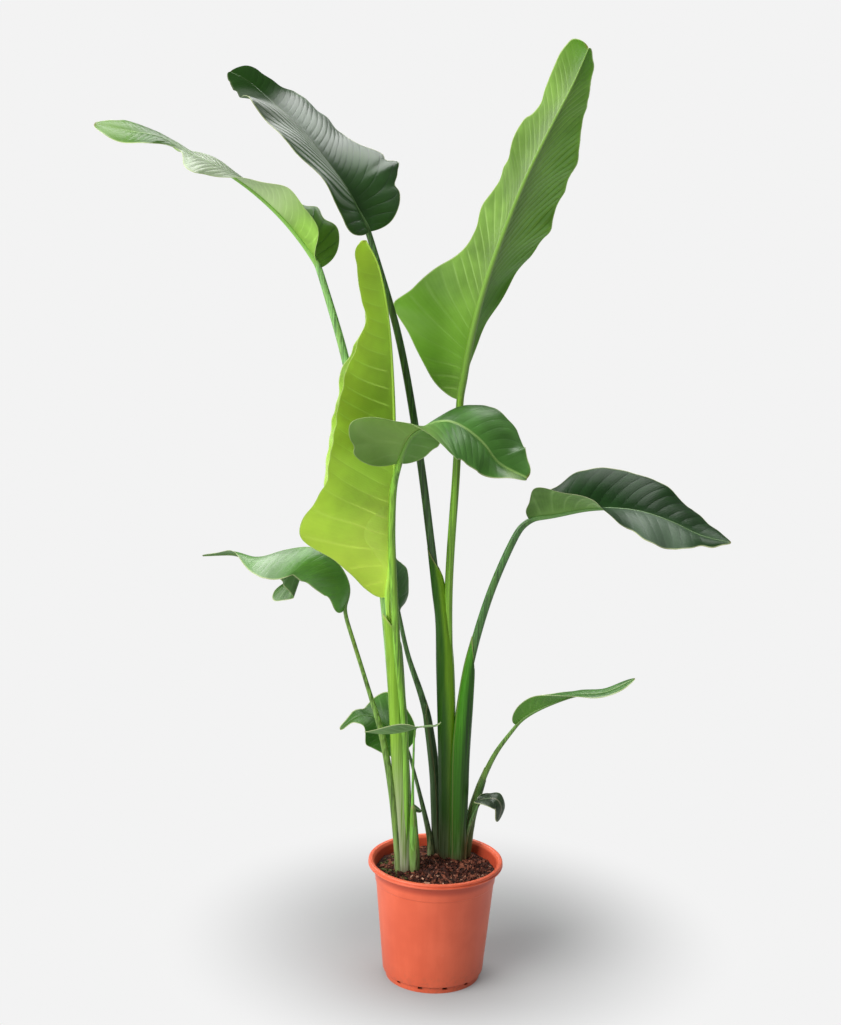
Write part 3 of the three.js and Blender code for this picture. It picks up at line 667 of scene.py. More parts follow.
def bladeSurface(leaf, along, out, seed):
    # A blade's middle surface on a grid of shares along the midrib and out to each side, from -1 to 1. A point
    # is the midrib point plus out times the half's width along its folded direction. It leans along the veins
    # with out to the power of 1.5, arches with out times 1 - out, and ripples and curls towards the edge.
    rows = np.array(leaf["blade"], float)
    middle = rows[:, :3] * mm
    centre = keyed(middle, along)
    tangent = unit(keyed(middle, along + 1e-4) - keyed(middle, along - 1e-4))
    side = unit(np.cross(tangent, leaf.get("facing", toFront)))
    front = np.cross(side, tangent)
    far = np.abs(out)[None, :]
    isLeft = (out < 0)[None, :]
    halves = []
    for hand, wideAt in ((-1, 3), (1, 5)):
        wide = np.sqrt(np.maximum(keyed((rows[:, wideAt] * mm) ** 2, along), 0))
        turn = np.radians(keyed(rows[:, wideAt + 1], along))[:, None]
        spread = hand * np.cos(turn) * side + np.sin(turn) * front
        upper = np.cross(hand * spread, tangent) * leaf["upperSide"]
        halves.append((wide[:, None], spread[:, None], upper[:, None]))
    (wideLeft, spreadLeft, upperLeft), (wideRight, spreadRight, upperRight) = halves
    wide = np.where(isLeft, wideLeft, wideRight)
    spread = np.where(isLeft[..., None], spreadLeft, spreadRight)
    upper = np.where(isLeft[..., None], upperLeft, upperRight)
    meanUpper = unit(upperLeft + upperRight)

    chance = np.random.default_rng(seed).uniform(0, 1, 6)
    phase = np.where(isLeft, chance[0], chance[1])
    run = runAlong(centre)[:, None]
    scallop = twoWaves(run, growth["scallopRuns"], (phase, 2 * phase + chance[2]), 0.7)
    wide = wide * (1 + growth["scallop"] * scallop * (0.4 + 0.6 * chance[3]))
    trims = [keyed(leaf.get(key, np.ones(21)), along)[:, None] for key in ("trimLeft", "trimRight")]
    for where, hand, amount, spanned in leaf.get("nicks", []):
        half = 0 if hand < 0 else 1
        trims[half] = trims[half] + amount * np.exp(-(((along[:, None] - where) / spanned) ** 2))
    wide = wide * np.where(isLeft, *trims)
    reach = far * wide

    past = rise(0, growth["lobeEnd"], along)[:, None]
    lean = growth["veinLean"] * past - growth["lobeReach"] * (1 - past)
    arch = leaf.get("arch", growth["arch"]) * 4 * far * (1 - far) * wide
    ripple = twoWaves(run, growth["rippleRuns"], (phase + chance[4], 3 * phase + chance[5]), 0.6)
    ripple = leaf.get("ripple", growth["ripple"]) * ripple * far**2.2 * wide * rise(0, 0.12, along)[:, None]

    handed = np.where(isLeft, -1.0, 1.0) * reach
    leaning = np.where(isLeft, *leaf.get("ribLean", (0.25, 0.25))) * reach * rise(0, 0.25, along)[:, None]
    course = run - leaning + growth["ribDrift"] * lattice(run / 0.045 + seed, handed / 0.06 + 9, seed)
    ribPitch = leaf.get("ribPitch", growth["ribPitch"]) * mm
    ribbed = np.abs(np.sin(math.pi * course / ribPitch)) ** growth["ribSharp"] - 0.65
    varied = 0.75 + 0.5 * lattice(run / 0.05 + 3, handed / 0.05, seed + 50)
    broad = np.clip(wide / growth["fullPleat"], 0, 1)
    inside = rise(0.001, 0.012, reach) * (1 - 0.7 * rise(0.6, 1, far)) * np.sqrt(broad)
    beforeTip = (1 - rise(0.82, 0.97, along))[:, None]
    pleats = np.where(isLeft, *leaf.get("pleats", (1, 1)))
    pleat = growth["pleat"] * ribbed * pleats * varied * inside * beforeTip
    curl = growth["curl"] * lattice(run / 0.04 + 20, 0.5 + 0 * run, seed + 90) * far**8 * broad

    slide = (far**1.5 * wide * lean)[..., None] * tangent[:, None]
    points = centre[:, None] + reach[..., None] * spread + slide
    points = points + (arch + ripple + pleat + curl)[..., None] * upper
    near = (1 - rise(0, 1.0, reach / growth["crease"]))[..., None]
    return {
        "points": points, "normal": unit(upper * (1 - near) + meanUpper * near), "wide": wide, "reach": reach,
        "far": far, "run": run, "course": course, "centre": centre, "meanUpper": meanUpper[:, 0],
    }


def bladePiece(name, leaf, paints, seed):
    # The middle surface, thickened both ways: the grid's upper side, then its underside back, as closed rings
    length = runAlong(keyed(np.array(leaf["blade"], float)[:, :3] * mm, np.linspace(0, 1, 60)))[-1]
    count = max(int(length / growth["step"]), 40)
    along = (1 - np.cos(np.pi * np.linspace(growth["slimEnd"], 1 - growth["slimEnd"], count))) / 2
    even = np.linspace(-1, 1, 2 * growth["half"] + 1)
    out = np.sign(even) * np.abs(even) ** growth["crowding"]
    surface = bladeSurface(leaf, along, out, seed)
    far, reach, run = surface["far"], surface["reach"], surface["run"]
    slim = np.sqrt(np.clip(4 * along * (1 - along), 0, 1))[:, None]
    thick = (growth["edge"] + (growth["middle"] - growth["edge"]) * (1 - far**2)) * slim
    upper = surface["points"] + thick[..., None] * surface["normal"]
    lower = surface["points"] - thick[..., None] * surface["normal"]
    points, faces = sweptGrid(np.concatenate([upper, lower[:, ::-1]], axis=1))
    fromEnds = np.minimum(run, run.max() - run) * 0.6 + 2 * mm
    rim = np.minimum((1 - far) * surface["wide"], fromEnds)
    grids = {
        "leafPlace": np.stack([surface["course"], reach * np.sign(out), rim], axis=-1),
        "leafShare": np.stack([along[:, None] + 0 * reach, far + 0 * reach, 0 * reach], axis=-1),
    }
    places = {label: withEnds(np.concatenate([grid, grid[:, ::-1]], axis=1)) for label, grid in grids.items()}
    isUnder = np.arange(2 * len(out)) >= len(out)
    slots = np.tile(isUnder, count + 1).astype(int)
    return meshFrom(name, points, faces, paints, slots, places, 55), surface


def bladePaint(name, leaf, isTop):
    # Ribs run along the veins, which the surface counts off in lengths along the midrib. Each rib is a hump
    # with a sharp valley and one flank darkened with painted shade, and on some leaves its top carries a
    # painted highlight. On the upper side the valleys are darkened with painted shade. Bands of colour are
    # partly the leaf's own tints and partly painted sheen, painted shade and painted glow. The midrib, the
    # margin and the veins are paler, the tip is dry and on some leaves darkened with painted shade, and light
    # shines through.
    paint = Paint(name)
    course, reach, rim = paint.attribute("leafPlace")
    share, far = paint.attribute("leafShare")[:2]
    where = paint.place()
    base = leaf["top"] if isTop else leaf["under"]
    pale = shade(base, 1.14, 6)
    onRight = paint.rise(reach, -1 * mm, 1 * mm)

    def sided(left, right):  # a value for each half, with a short run between them
        return onRight * (right - left) + left

    pitch = leaf.get("ribPitch", growth["ribPitch"]) * mm
    rib = (course * (math.pi / pitch)).wave().size()
    fine = (course * (2 * math.pi / growth["finePitch"])).wave()
    inside = paint.rise(reach.size(), 2 * mm, 16 * mm) * paint.rise(rim, 0.0, 12 * mm)
    depth = paint.noise(paint.vector(course * 9, reach * 14, 0.3), 1.0, 2.0) * 0.9 + 0.15
    ribHeight = leaf.get("relief", 1.0) * (1.1 if isTop else 0.9) * mm
    height = (rib**0.55 * depth * ribHeight + fine * 0.00002) * inside * (1 - paint.rise(share, 0.8, 0.95))

    mottle = paint.noise(where, 16.0, 3.0)
    broad = paint.noise(where, 5.0, 2.0)
    dapple = paint.rise(mottle * 0.5 + broad * 0.5, 0.34, 0.66)
    tone = paint.mix(dapple, linear(shade(base, 0.8)), linear(pale))
    # Painted shade: one flank of each rib is darker, as if turned away from the light
    shadedFlank = (course / pitch).fraction() * inside * sided(*leaf.get("ribTone", (0.5, 0.5)))
    tone = paint.tint(tone, shadedFlank * paint.rise(share, 0.1, 0.3) * 0.5, shade(base, 0.62))
    patchy = paint.rise(paint.noise(where, 11.0, 1.0), 0.38, 0.66) * 0.6 + 0.4
    valley = (1 - paint.rise(rib, 0.05, leaf.get("ribLine", 0.45))) * inside * patchy
    # On the upper side the valleys are darkened: painted shade in the creases. On the underside they are paler
    # veins.
    if isTop:
        tone = paint.tint(tone, valley * 0.35, shade(base, 0.72))
    else:
        tone = paint.tint(tone, valley * leaf.get("veins", 0.5), shade(base, 1.04, 34))
    # Painted highlight: a pale colour on the rib tops stands in for light shining on them
    if "ribGlint" in leaf:
        glint = paint.rise(rib, 0.5, 0.9) * inside * sided(*leaf["ribGlint"])
        stretch = (1 - paint.rise(share, 0.56, 0.74)) * paint.rise(share, 0.06, 0.2)
        tone = paint.tint(tone, glint * stretch * (mottle * 0.6 + 0.5), leaf["glintTone"])
    # Bands of colour: some are the leaf's own tints, and some are painted sheen, painted shade and the painted
    # glow of light through the blade
    for middle, spanned, hand, strength, colour in leaf.get("tintAndSheenBands", []):
        tintAndSheenBand = paint.rise(share, middle - spanned, middle) * (1 - paint.rise(share, middle, middle + spanned))
        if hand:
            tintAndSheenBand = tintAndSheenBand * paint.rise(reach * hand, -2 * mm, 6 * mm)
        tone = paint.tint(tone, tintAndSheenBand * (mottle * 0.5 + 0.65) * strength, colour)
    tone = paint.tint(tone, (fine * 0.5 + 0.5) * inside * 0.1, pale)
    wide = leaf.get("midrib", 1.4) * mm
    lively = (min(base[0] * 1.4 + 56, 240), min(base[1] * 1.25 + 42, 245), min(base[2] * 1.3 + 48, 200))
    tone = paint.tint(tone, (1 - paint.rise(reach.size(), 0.6 * wide, 1.5 * wide)) * 0.85, lively)
    tone = paint.tint(tone, (1 - paint.rise(rim, 0.7 * mm, 2.2 * mm)) * 0.75, (214, 222, 168))
    tone = paint.tint(tone, paint.rise(share, 0.985, 1.0) * 0.7, (130, 100, 48))

    mattFrom, mattTo, matt = leaf.get("matt", (0, 1, 0))
    leastRough = leaf.get("rough", 0.3 if isTop else 0.42)
    rough = mottle * 0.16 + paint.rise(share, mattFrom, mattTo) * matt + leastRough
    bump = paint.bump(height + mottle * 0.0004)
    skin = paint.skin(tone, rough, bump, leaf.get("shine", 0.5 if isTop else 0.35))
    # Painted shade on the tip: a darker colour with no shine stands in for the shade there
    if "dull" in leaf:  # from here to the tip the leaf has no shine, sooner on its left half
        dullFrom, dullTo, tipShadeTone = leaf["dull"]
        dull = paint.add("BsdfDiffuse", {}, {"Color": linear(tipShadeTone), "Normal": bump})
        leaning = share + (1 - onRight) * far * 0.16
        skin = paint.blend(paint.rise(leaning, dullFrom, dullTo) * 0.85, skin, dull)
    glow = paint.add("BsdfTranslucent", {}, {"Color": linear(leaf["glow"]), "Normal": bump})
    return paint.end(paint.blend((1 - valley * 0.35) * leaf.get("clear", 0.35), skin, glow))


def carried(path):
    # Directions beside a path, carried along it without twisting: each one is the last with its part along
    # the new direction taken out
    tangent = unit(np.gradient(path, axis=0))
    side = np.zeros_like(path)
    current = unit(np.cross(tangent[0], toFront))
    for number, direction in enumerate(tangent):
        current = unit(current - direction * np.dot(current, direction))
        side[number] = current
    return side, np.cross(side, tangent)


def evenly(path, values, step):  # a path and its values, sampled again at even steps
    run = runAlong(path)
    marks = np.linspace(0, run[-1], max(int(run[-1] / step), 8))
    both = np.column_stack([path, values])
    return np.column_stack([np.interp(marks, run, column) for column in both.T]), marks


tube = {"sides": 24, "step": 4 * mm, "grooveDeep": 0.16, "grooveWide": 0.55, "ridge": 0.02, "tip": 0.7 * mm}


def stalkPiece(name, leaf, surface, paint):
    # A tube along the stalk and on under the midrib, where it sinks half into the blade and thins to the tip
    rows = np.array(leaf["stalk"], float) * mm
    share = np.linspace(0.02, 1, 160)
    stalk = keyed(rows, share)
    gap = np.linalg.norm(stalk[:, :3] - surface["centre"][0], axis=1)
    stalk = stalk[: np.argmax((gap < 12 * mm) | (share >= 0.999))]
    run = surface["run"][:, 0]
    whole = run[-1]
    endRadius = rows[-1, 3]
    rib = endRadius * (1 - run / whole) ** 0.9 * leaf.get("ribShare", 0.62) + tube["tip"]
    sunk = rise(0.0, 45 * mm, run) * 0.55
    centre = surface["centre"] - surface["meanUpper"] * (rib * sunk)[:, None]
    rib = rib + (endRadius - rib) * (1 - rise(0.0, 50 * mm, run))
    keep = run > 8 * mm
    path = np.concatenate([stalk[:, :3], centre[keep]])
    radius = np.concatenate([stalk[:, 3], rib[keep]])
    merged, marks = evenly(path, radius, tube["step"])
    for _ in range(6):
        merged[1:-1] = (merged[:-2] + 2 * merged[1:-1] + merged[2:]) / 4
    path, radius = merged[:, :3], merged[:, 3]
    side, front = carried(path)
    turn = fullTurn(tube["sides"])
    fromGroove = np.angle(np.exp(1j * (turn - np.pi / 2 * leaf["upperSide"])))
    lifted = rise(0.19, 0.5, path[:, 2])[:, None]
    groove = 1 - tube["grooveDeep"] * lifted * np.exp(-((fromGroove / tube["grooveWide"]) ** 2))
    reach = radius[:, None] * groove * (1 + tube["ridge"] * np.cos(3 * turn))
    around = np.cos(turn)[:, None] * side[:, None] + np.sin(turn)[:, None] * front[:, None]
    points, faces = sweptGrid(path[:, None] + reach[..., None] * around)
    onBlade = rise(0, 20 * mm, marks - (marks[-1] - whole))
    place = onBlade[:, None, None] + np.zeros((len(turn), 3))
    return meshFrom(name, points, faces, [paint], None, {"stemPlace": withEnds(place)}, 60)


def stemPaint(name, colour, rib):
    # Long fine streaks up the stalk, with yellower stretches and a paler, greyer foot. On under the blade it
    # takes the midrib's colour.
    paint = Paint(name)
    onBlade = paint.attribute("stemPlace")[0]
    streak = paint.noise(paint.place((420, 420, 7)), 1.0)
    patch = paint.noise(paint.place((60, 60, 6)), 1.0, 2.0)
    height = paint.parts(paint.place())[2]
    dark, pale = shade(colour, 0.72), shade(colour, 1.2, 10)
    yellower = (min(colour[0] * 1.35, 255), min(colour[1] * 1.15, 255), colour[2] * 0.8)
    tone = paint.mix(paint.rise(streak, 0.3, 0.7), linear(dark), linear(pale))
    tone = paint.tint(tone, paint.rise(patch, 0.45, 0.75) * 0.4, yellower)
    foot = (1 - paint.rise(height, 0.2, 0.29)) * paint.rise(streak, 0.35, 0.65)
    tone = paint.tint(tone, foot * 0.55, (176, 184, 140))
    tone = paint.tint(tone, onBlade, rib)
    bump = paint.bump(streak * 0.0004 + patch * 0.0001)
    return paint.end(paint.skin(tone, streak * 0.2 + 0.3, bump, 0.45))


# Leaf sheaths: the flared, wrapped stalk bases. A row is x, y and z of the middle, then half the width and
# half the depth, in millimetres. The mouth is highest towards slantTo and falls by twice slant on the other
# side. seam is where the wrap's edge lies, at the foot and at the mouth. Directions are in degrees round from
# the right. near colours the left side and far the right; on most sheaths the lighter left and darker right
# are painted light and shade, as if lit from the left. dry is how grey the foot is, up to dryTo metres.

sheaths = {
    "left_clump_sheath": {
        "rows": [
            [-55, -10, 190, 17, 15], [-57, -10, 260, 17, 15], [-64, -9, 360, 16, 15],
            [-72, -9, 470, 15, 15], [-82, -9, 600, 14.5, 14], [-91, -10, 672, 12.5, 13],
        ],
        "slant": 26, "slantTo": 200, "seam": (-40, -80), "near": (112, 152, 40), "far": (48, 92, 16),
        "dry": 1.0, "dryTo": 0.48,
    },
    "middle_clump_sheath": {
        "rows": [
            [21, 49, 190, 14, 12], [19, 50, 300, 15, 13], [14.5, 50.5, 430, 16, 14],
            [8, 50, 560, 15.8, 13.5], [1.5, 51, 640, 12.8, 14.5], [-6.5, 52, 700, 12.8, 11],
            [-19.5, 51.5, 775, 9.6, 8.5],
        ],
        "slant": 24, "slantTo": 180, "seam": (-45, -20), "near": (34, 76, 4), "far": (108, 152, 20),
    },
    "right_clump_sheath": {
        "rows": [
            [40, 43, 190, 13, 12], [40, 42, 300, 15.5, 13], [40, 41, 400, 16, 13],
            [44, 40, 480, 14.5, 12], [51, 40, 560, 11, 10.5], [62, 40, 620, 8.6, 8.6],
        ],
        "slant": 30, "slantTo": 180, "seam": (-130, -170), "near": (54, 112, 14), "far": (24, 60, 6),
    },
    "low_right_sheath": {
        "rows": [
            [55, 57.5, 190, 8, 8], [62, 57, 270, 8.6, 8], [76, 56.5, 330, 7.4, 7], [90, 55, 372, 5.6, 5.6],
        ],
        "slant": 14, "slantTo": 150, "seam": (-120, -150), "near": (96, 140, 62), "far": (60, 100, 42),
    },
    "young_sheath": {
        "rows": [
            [-36, -18, 190, 8.6, 8.6], [-38, -21, 240, 8.8, 8.4], [-41, -25, 300, 6, 6],
            [-42.5, -26, 330, 4.4, 4.4],
        ],
        "slant": 12, "slantTo": -90, "seam": (-60, -90), "near": (112, 168, 52), "far": (74, 126, 38),
    },
    "back_stalk_sheath": {
        "rows": [
            [4, 61, 190, 8, 8], [-1, 67, 290, 9, 8.5], [-6, 73, 360, 9, 8.5], [-20, 79, 450, 7.4, 7.4],
            [-30, 81.5, 488, 6.2, 6.2],
        ],
        "slant": 16, "slantTo": 20, "seam": (-70, -110), "near": (66, 96, 52), "far": (44, 70, 34),
    },
}

wrap = {"sides": 72, "rows": 120, "wall": 0.9 * mm, "flute": 0.25 * mm, "flutes": 9, "lipRows": 4}


def sheathPiece(name, sheath, paint):
    # A wrapped tube. Its section is an ellipse whose size grows evenly once round by the wall's thickness and
    # steps back at the seam. The top is cut on a slant, and inside it the wall runs back down to a cap.
    rows = np.array(sheath["rows"], float) * mm
    share = np.linspace(0, 1, wrap["rows"])
    path = keyed(rows, share)
    turn = fullTurn(wrap["sides"])
    seam = np.radians(np.interp(share, (0, 1), sheath["seam"]))[:, None]
    wrapped = np.mod(turn - seam, 2 * np.pi) / (2 * np.pi)
    step = wrap["wall"] * wrapped * rise(0, 0.04, wrapped)
    flute = wrap["flute"] * np.sin(wrap["flutes"] * turn + 3 * lattice(share[:, None] * 6, turn * 0.8, 77))
    lift = sheath["slant"] * mm * share[:, None] ** 6 * (np.cos(turn - np.radians(sheath["slantTo"])) - 1)
    upward = np.gradient(path[:, :3], axis=0)
    upward = upward / upward[:, 2:]
    middle = path[:, None, :3] + lift[..., None] * upward[:, None]
    around = np.stack([np.cos(turn), np.sin(turn), 0 * turn], axis=-1)
    size = np.stack([path[:, None, 3] + step + flute, path[:, None, 4] + step + flute, 0 * step], axis=-1)
    back = np.arange(-1, -1 - wrap["lipRows"], -1)
    inner = middle[back] + np.maximum(size[back] - wrap["wall"], 0) * around
    points, faces = sweptGrid(np.concatenate([middle + size * around, inner]))
    side = np.cos(turn)[None, :] + 0 * step
    fromSeam = np.minimum(wrapped, 1 - wrapped) * 2 * np.pi * path[:, None, 3]
    fromMouth = (path[-1, 2] - path[:, None, 2]) + 0 * step
    place = np.stack([side, fromSeam, fromMouth], axis=-1)
    places = {"sheathPlace": withEnds(np.concatenate([place, place[back]]))}
    return meshFrom(name, points, faces, [paint], None, places)


def sheathPaint(name, sheath):
    # One colour on the left and another on the right, on most sheaths a lighter, lit left and a darker, shaded
    # right as painted light and shade, fine streaks, a papery edge along the seam and the mouth, and a grey,
    # dry foot
    paint = Paint(name)
    side, fromSeam, fromMouth = paint.attribute("sheathPlace")
    streak = paint.noise(paint.place((520, 520, 5)), 1.0)
    patch = paint.noise(paint.place((45, 45, 7)), 1.0, 2.0)
    height = paint.parts(paint.place())[2]
    near, far = sheath["near"], sheath["far"]
    # Painted light and shade: near colours the left and far the right, on most sheaths a lit left and a shaded
    # right
    tone = paint.mix(paint.rise(side + (patch - 0.5) * 0.8, -0.3, 0.5), linear(near), linear(far))
    tone = paint.tint(tone, paint.rise(streak, 0.35, 0.7) * 0.35, shade(near, 1.3, 10))
    tone = paint.tint(tone, paint.rise(patch, 0.5, 0.75) * 0.3, shade(far, 0.7))
    tone = paint.tint(tone, (1 - paint.rise(height, 0.25, 0.5)) * 0.6, shade(near, 0.62, 4))
    foot = 1 - paint.rise(height, 0.2, sheath.get("dryTo", 0.3))
    flaky = paint.rise(streak * 0.6 + patch * 0.4, 0.34, 0.56)
    tone = paint.tint(tone, foot * flaky * sheath.get("dry", 0.3), (160, 166, 138))
    soilLine = 1 - paint.rise(height + streak * 0.01, 0.205, 0.225)
    tone = paint.tint(tone, soilLine * 0.6, (84, 62, 44))
    tone = paint.tint(tone, (1 - paint.rise(fromSeam, 0.4 * mm, 1.6 * mm)) * 0.3, (150, 128, 92))
    tone = paint.tint(tone, (1 - paint.rise(fromMouth, 0.0, 10 * mm)) * 0.35, (176, 160, 116))
    bump = paint.bump(streak * 0.0006 + patch * 0.0005)
    return paint.end(paint.skin(tone, streak * 0.2 + 0.36, bump, 0.28))


for sheathName, sheath in sheaths.items():
    finishPiece(sheathPiece(sheathName, sheath, sheathPaint(sheathName + "Skin", sheath)), "stalk")

for number, (leafName, leaf) in enumerate(leaves.items()):
    sides = [bladePaint(leafName + "Upper", leaf, True), bladePaint(leafName + "Under", leaf, False)]
    blade, surface = bladePiece(leafName + "_blade_skin", leaf, sides, 11 + number)
    finishPiece(blade, "leaf_blade", leafName + "_blade")
    ribTone = tuple(0.5 * (under + stem) for under, stem in zip(leaf["under"], leaf["stem"]))
    stem = stemPaint(leafName + "Stem", leaf["stem"], ribTone)
    finishPiece(stalkPiece(leafName + "_stalk_skin", leaf, surface, stem), "stalk", leafName + "_stalk")
sides = [bladePaint("bractUpper", bract, True), bladePaint("bractUnder", bract, False)]
finishPiece(bladePiece("small_bract_leaf", bract, sides, 40)[0], "leaf_blade", "small_bract")
print("leaves grown")

# Pot

pot = {
    "rimRadius": 120 * mm, "rimTop": 219.5 * mm, "rimUnder": 209.5 * mm, "lipRadius": 110.8 * mm,
    "bandStep": 182 * mm, "wallTop": 109.4 * mm, "wallFoot": 90 * mm, "wall": 2.2 * mm, "bandProud": 1.4 * mm,
    "footRadius": 84.5 * mm, "footHeight": 12 * mm, "footRing": 7.5 * mm, "disc": 52 * mm, "channel": 5 * mm,
    "drains": 6, "drainRadius": 6 * mm, "slots": 12, "slotWidth": 8.5 * mm, "slotHeight": 4.6 * mm,
    "groove": 4.6 * mm, "sides": 144, "sharpAngle": 38,
}


def wallAt(z):  # the wall's outer radius at a height
    share = (z - pot["footHeight"]) / (pot["rimUnder"] - pot["footHeight"])
    return pot["wallFoot"] + share * (pot["wallTop"] - pot["wallFoot"])


def roundedRun(corners, steps=4):
    # Each corner of a run is swapped for a short curve, whose size stands beside the corner
    points = [corners[0][:2]]
    for before, here, after in zip(corners[:-2], corners[1:-1], corners[2:]):
        corner = np.array(here[:2])
        toBefore, toAfter = np.array(before[:2]) - corner, np.array(after[:2]) - corner
        longBefore, longAfter = np.linalg.norm(toBefore), np.linalg.norm(toAfter)
        cut = min(here[2], 0.45 * longBefore, 0.45 * longAfter)
        start, stop = corner + toBefore / longBefore * cut, corner + toAfter / longAfter * cut
        for part in np.linspace(0, 1, steps + 1):
            points.append((1 - part) ** 2 * start + 2 * part * (1 - part) * corner + part**2 * stop)
    points.append(corners[-1][:2])
    return np.array(points)


def potSection():
    # The pot's section from the axis out along its underside, up the wall and round the rim, then down inside.
    # A corner is its radius, its height and the size of its rounding in millimetres.
    ring = pot["footRadius"] - pot["footRing"]
    wall, foot, step = pot["wall"], pot["footHeight"], pot["bandStep"]
    rim, top, under, lip = pot["rimRadius"], pot["rimTop"], pot["rimUnder"], pot["lipRadius"]
    disc, channel, outer, low = pot["disc"], pot["channel"], pot["footRadius"], pot["wallFoot"]
    groove, band = under + pot["groove"], wallAt(step) - pot["bandProud"]
    corners = [
        (0, 0, 0), (disc, 0, 1), (disc + 3 * mm, channel, 1), (ring - 3 * mm, channel, 1), (ring, 0, 0.6),
        (outer, 0, 0.8), (outer, foot - 1 * mm, 0.4), (outer - 0.9 * mm, foot, 0.4),
        (low - 0.6 * mm, foot + 1 * mm, 0.6), (low, foot + 2.5 * mm, 0.6), (band, step - 1.5 * mm, 0.5),
        (wallAt(step), step, 0.6), (pot["wallTop"], under, 0.8), (rim - 1.5 * mm, under, 0.5),
        (rim - 0.2 * mm, under + 1.5 * mm, 1.2), (rim, groove - 1 * mm, 0.8), (rim - 1.8 * mm, groove, 0.5),
        (rim - 1.9 * mm, groove + 0.8 * mm, 0.4), (rim - 0.4 * mm, groove + 1.6 * mm, 0.6),
        (rim - 0.6 * mm, top - 1.6 * mm, 1.4), (rim - 2.4 * mm, top, 1.6), (rim - 5.5 * mm, top - 0.2 * mm, 2),
        (lip + 1.5 * mm, top - 0.6 * mm, 2), (lip - 2.2 * mm, top - 6 * mm, 1.5),
        (pot["wallTop"] - wall, under - 4 * mm, 1), (wallAt(step) - wall, step + 1 * mm, 0.6),
        (band - wall, step - 2 * mm, 0.6), (low - wall, foot + 5 * mm, 1), (outer - wall, foot + 1 * mm, 1),
        (outer - wall, wall, 0.6), (ring + 1.5 * mm, wall, 0.6), (ring - 1 * mm, channel + wall, 1),
        (disc + 1 * mm, channel + wall, 1), (disc - 1.5 * mm, wall, 1), (0, wall, 0),
    ]
    return roundedRun([(radius, height, size * mm) for radius, height, size in corners])


def potPaint():
    # Moulded plastic: slow colour drift, faint upright flow marks, fine grain, pale scuffs, painted shade on
    # the inner wall and a painted shadow under the rim, with a little soil dust low down
    paint = Paint("terracottaPlastic")
    where = paint.place()
    broad = paint.noise(where, 9.0)
    flow = paint.noise(paint.place((70, 70, 4)), 1.0)
    grain = paint.noise(where, 900.0, 2.0)
    speck = paint.noise(where, 120.0, 4.0, 0.7)
    x, y, z = paint.parts(where)
    radius = (x * x + y * y) ** 0.5
    drift = paint.rise(broad * 0.8 + flow * 0.2, 0.36, 0.64)
    tone = paint.mix(drift, linear((204, 86, 54)), linear((217, 98, 65)))
    # Painted shade: the inner wall is darker above the soil
    inner = (1 - paint.rise(radius, 108.5 * mm, 110.5 * mm)) * paint.rise(z, 190 * mm, 200 * mm)
    tone = paint.tint(tone, inner * 0.75, (168, 60, 38))
    # Painted shadow: a darker band just under the rim
    under = pot["rimUnder"]
    shadowUnderRim = paint.rise(z, under - 5.5 * mm, under) * (1 - paint.rise(z, under, under + 1.5 * mm))
    tone = paint.tint(tone, shadowUnderRim * paint.rise(radius, 108.5 * mm, 110 * mm) * 0.5, (150, 56, 38))
    scuff = paint.rise(speck * 0.75 + broad * 0.25, 0.6, 0.74)
    tone = paint.tint(tone, scuff * 0.22, (226, 150, 120))
    dust = (1 - paint.rise(z, 6 * mm, 50 * mm)) * paint.rise(speck, 0.48, 0.66)
    tone = paint.tint(tone, dust * 0.35, (150, 84, 60))
    bump = paint.bump(grain * 0.00006 + broad * 0.0006 + speck * 0.00005)
    return paint.end(paint.skin(tone, broad * 0.12 + scuff * 0.1 + 0.36, bump, 0.42))


def cutters():
    # Round drills for the drain holes and boxes for the slots in the foot, as one closed mesh
    shapes = []
    channelMiddle = (pot["disc"] + pot["footRadius"] - pot["footRing"]) / 2
    drill = circles([pot["drainRadius"]] * 2, [-10 * mm, 20 * mm], 24)
    for angle in fullTurn(pot["drains"]):
        shapes.append(sweptGrid(drill + [channelMiddle * np.cos(angle), channelMiddle * np.sin(angle), 0]))
    wall, top = pot["wall"], pot["footHeight"] - 1 * mm
    square = np.array([[-1, -1, 0], [1, -1, 0], [1, 1, 0], [-1, 1, 0]]) / 2
    box = square * [3 * wall, pot["slotWidth"], 1] + [pot["footRadius"] - wall / 2, 0, 0]
    turnBy = turnsFrom(fullTurn(pot["slots"]) + np.pi / pot["slots"], 0, 1)
    for side in box @ np.swapaxes(turnBy, 1, 2):
        shapes.append(sweptGrid(np.stack([side + [0, 0, top - pot["slotHeight"]], side + [0, 0, top]])))
    starts = np.cumsum([0] + [len(points) for points, _ in shapes])
    points = np.concatenate([points for points, _ in shapes])
    return points, np.concatenate([faces + start for (_, faces), start in zip(shapes, starts)])


section = potSection()[1:-1]
potPoints, potFaces = sweptGrid(circles(section[:, 0], section[:, 1], pot["sides"]))
potPiece = meshFrom("pot_shell", potPoints, potFaces, [potPaint()], sharpAngle=pot["sharpAngle"])
cutPoints, cutFaces = cutters()
cutPiece = meshFrom("potCutter", cutPoints, cutFaces, [])
carve = potPiece.modifiers.new("carve", "BOOLEAN")
carve.operation, carve.object, carve.solver = "DIFFERENCE", cutPiece, "EXACT"
bpy.context.view_layer.update()
carved = bpy.data.meshes.new_from_object(potPiece.evaluated_get(bpy.context.evaluated_depsgraph_get()))
potPiece.modifiers.clear()
potPiece.data = carved
carved.set_sharp_from_angle(angle=math.radians(pot["sharpAngle"]))
bpy.data.objects.remove(cutPiece)
finishPiece(potPiece, "pot_plastic", "pot")
print("pot turned")

# Soil

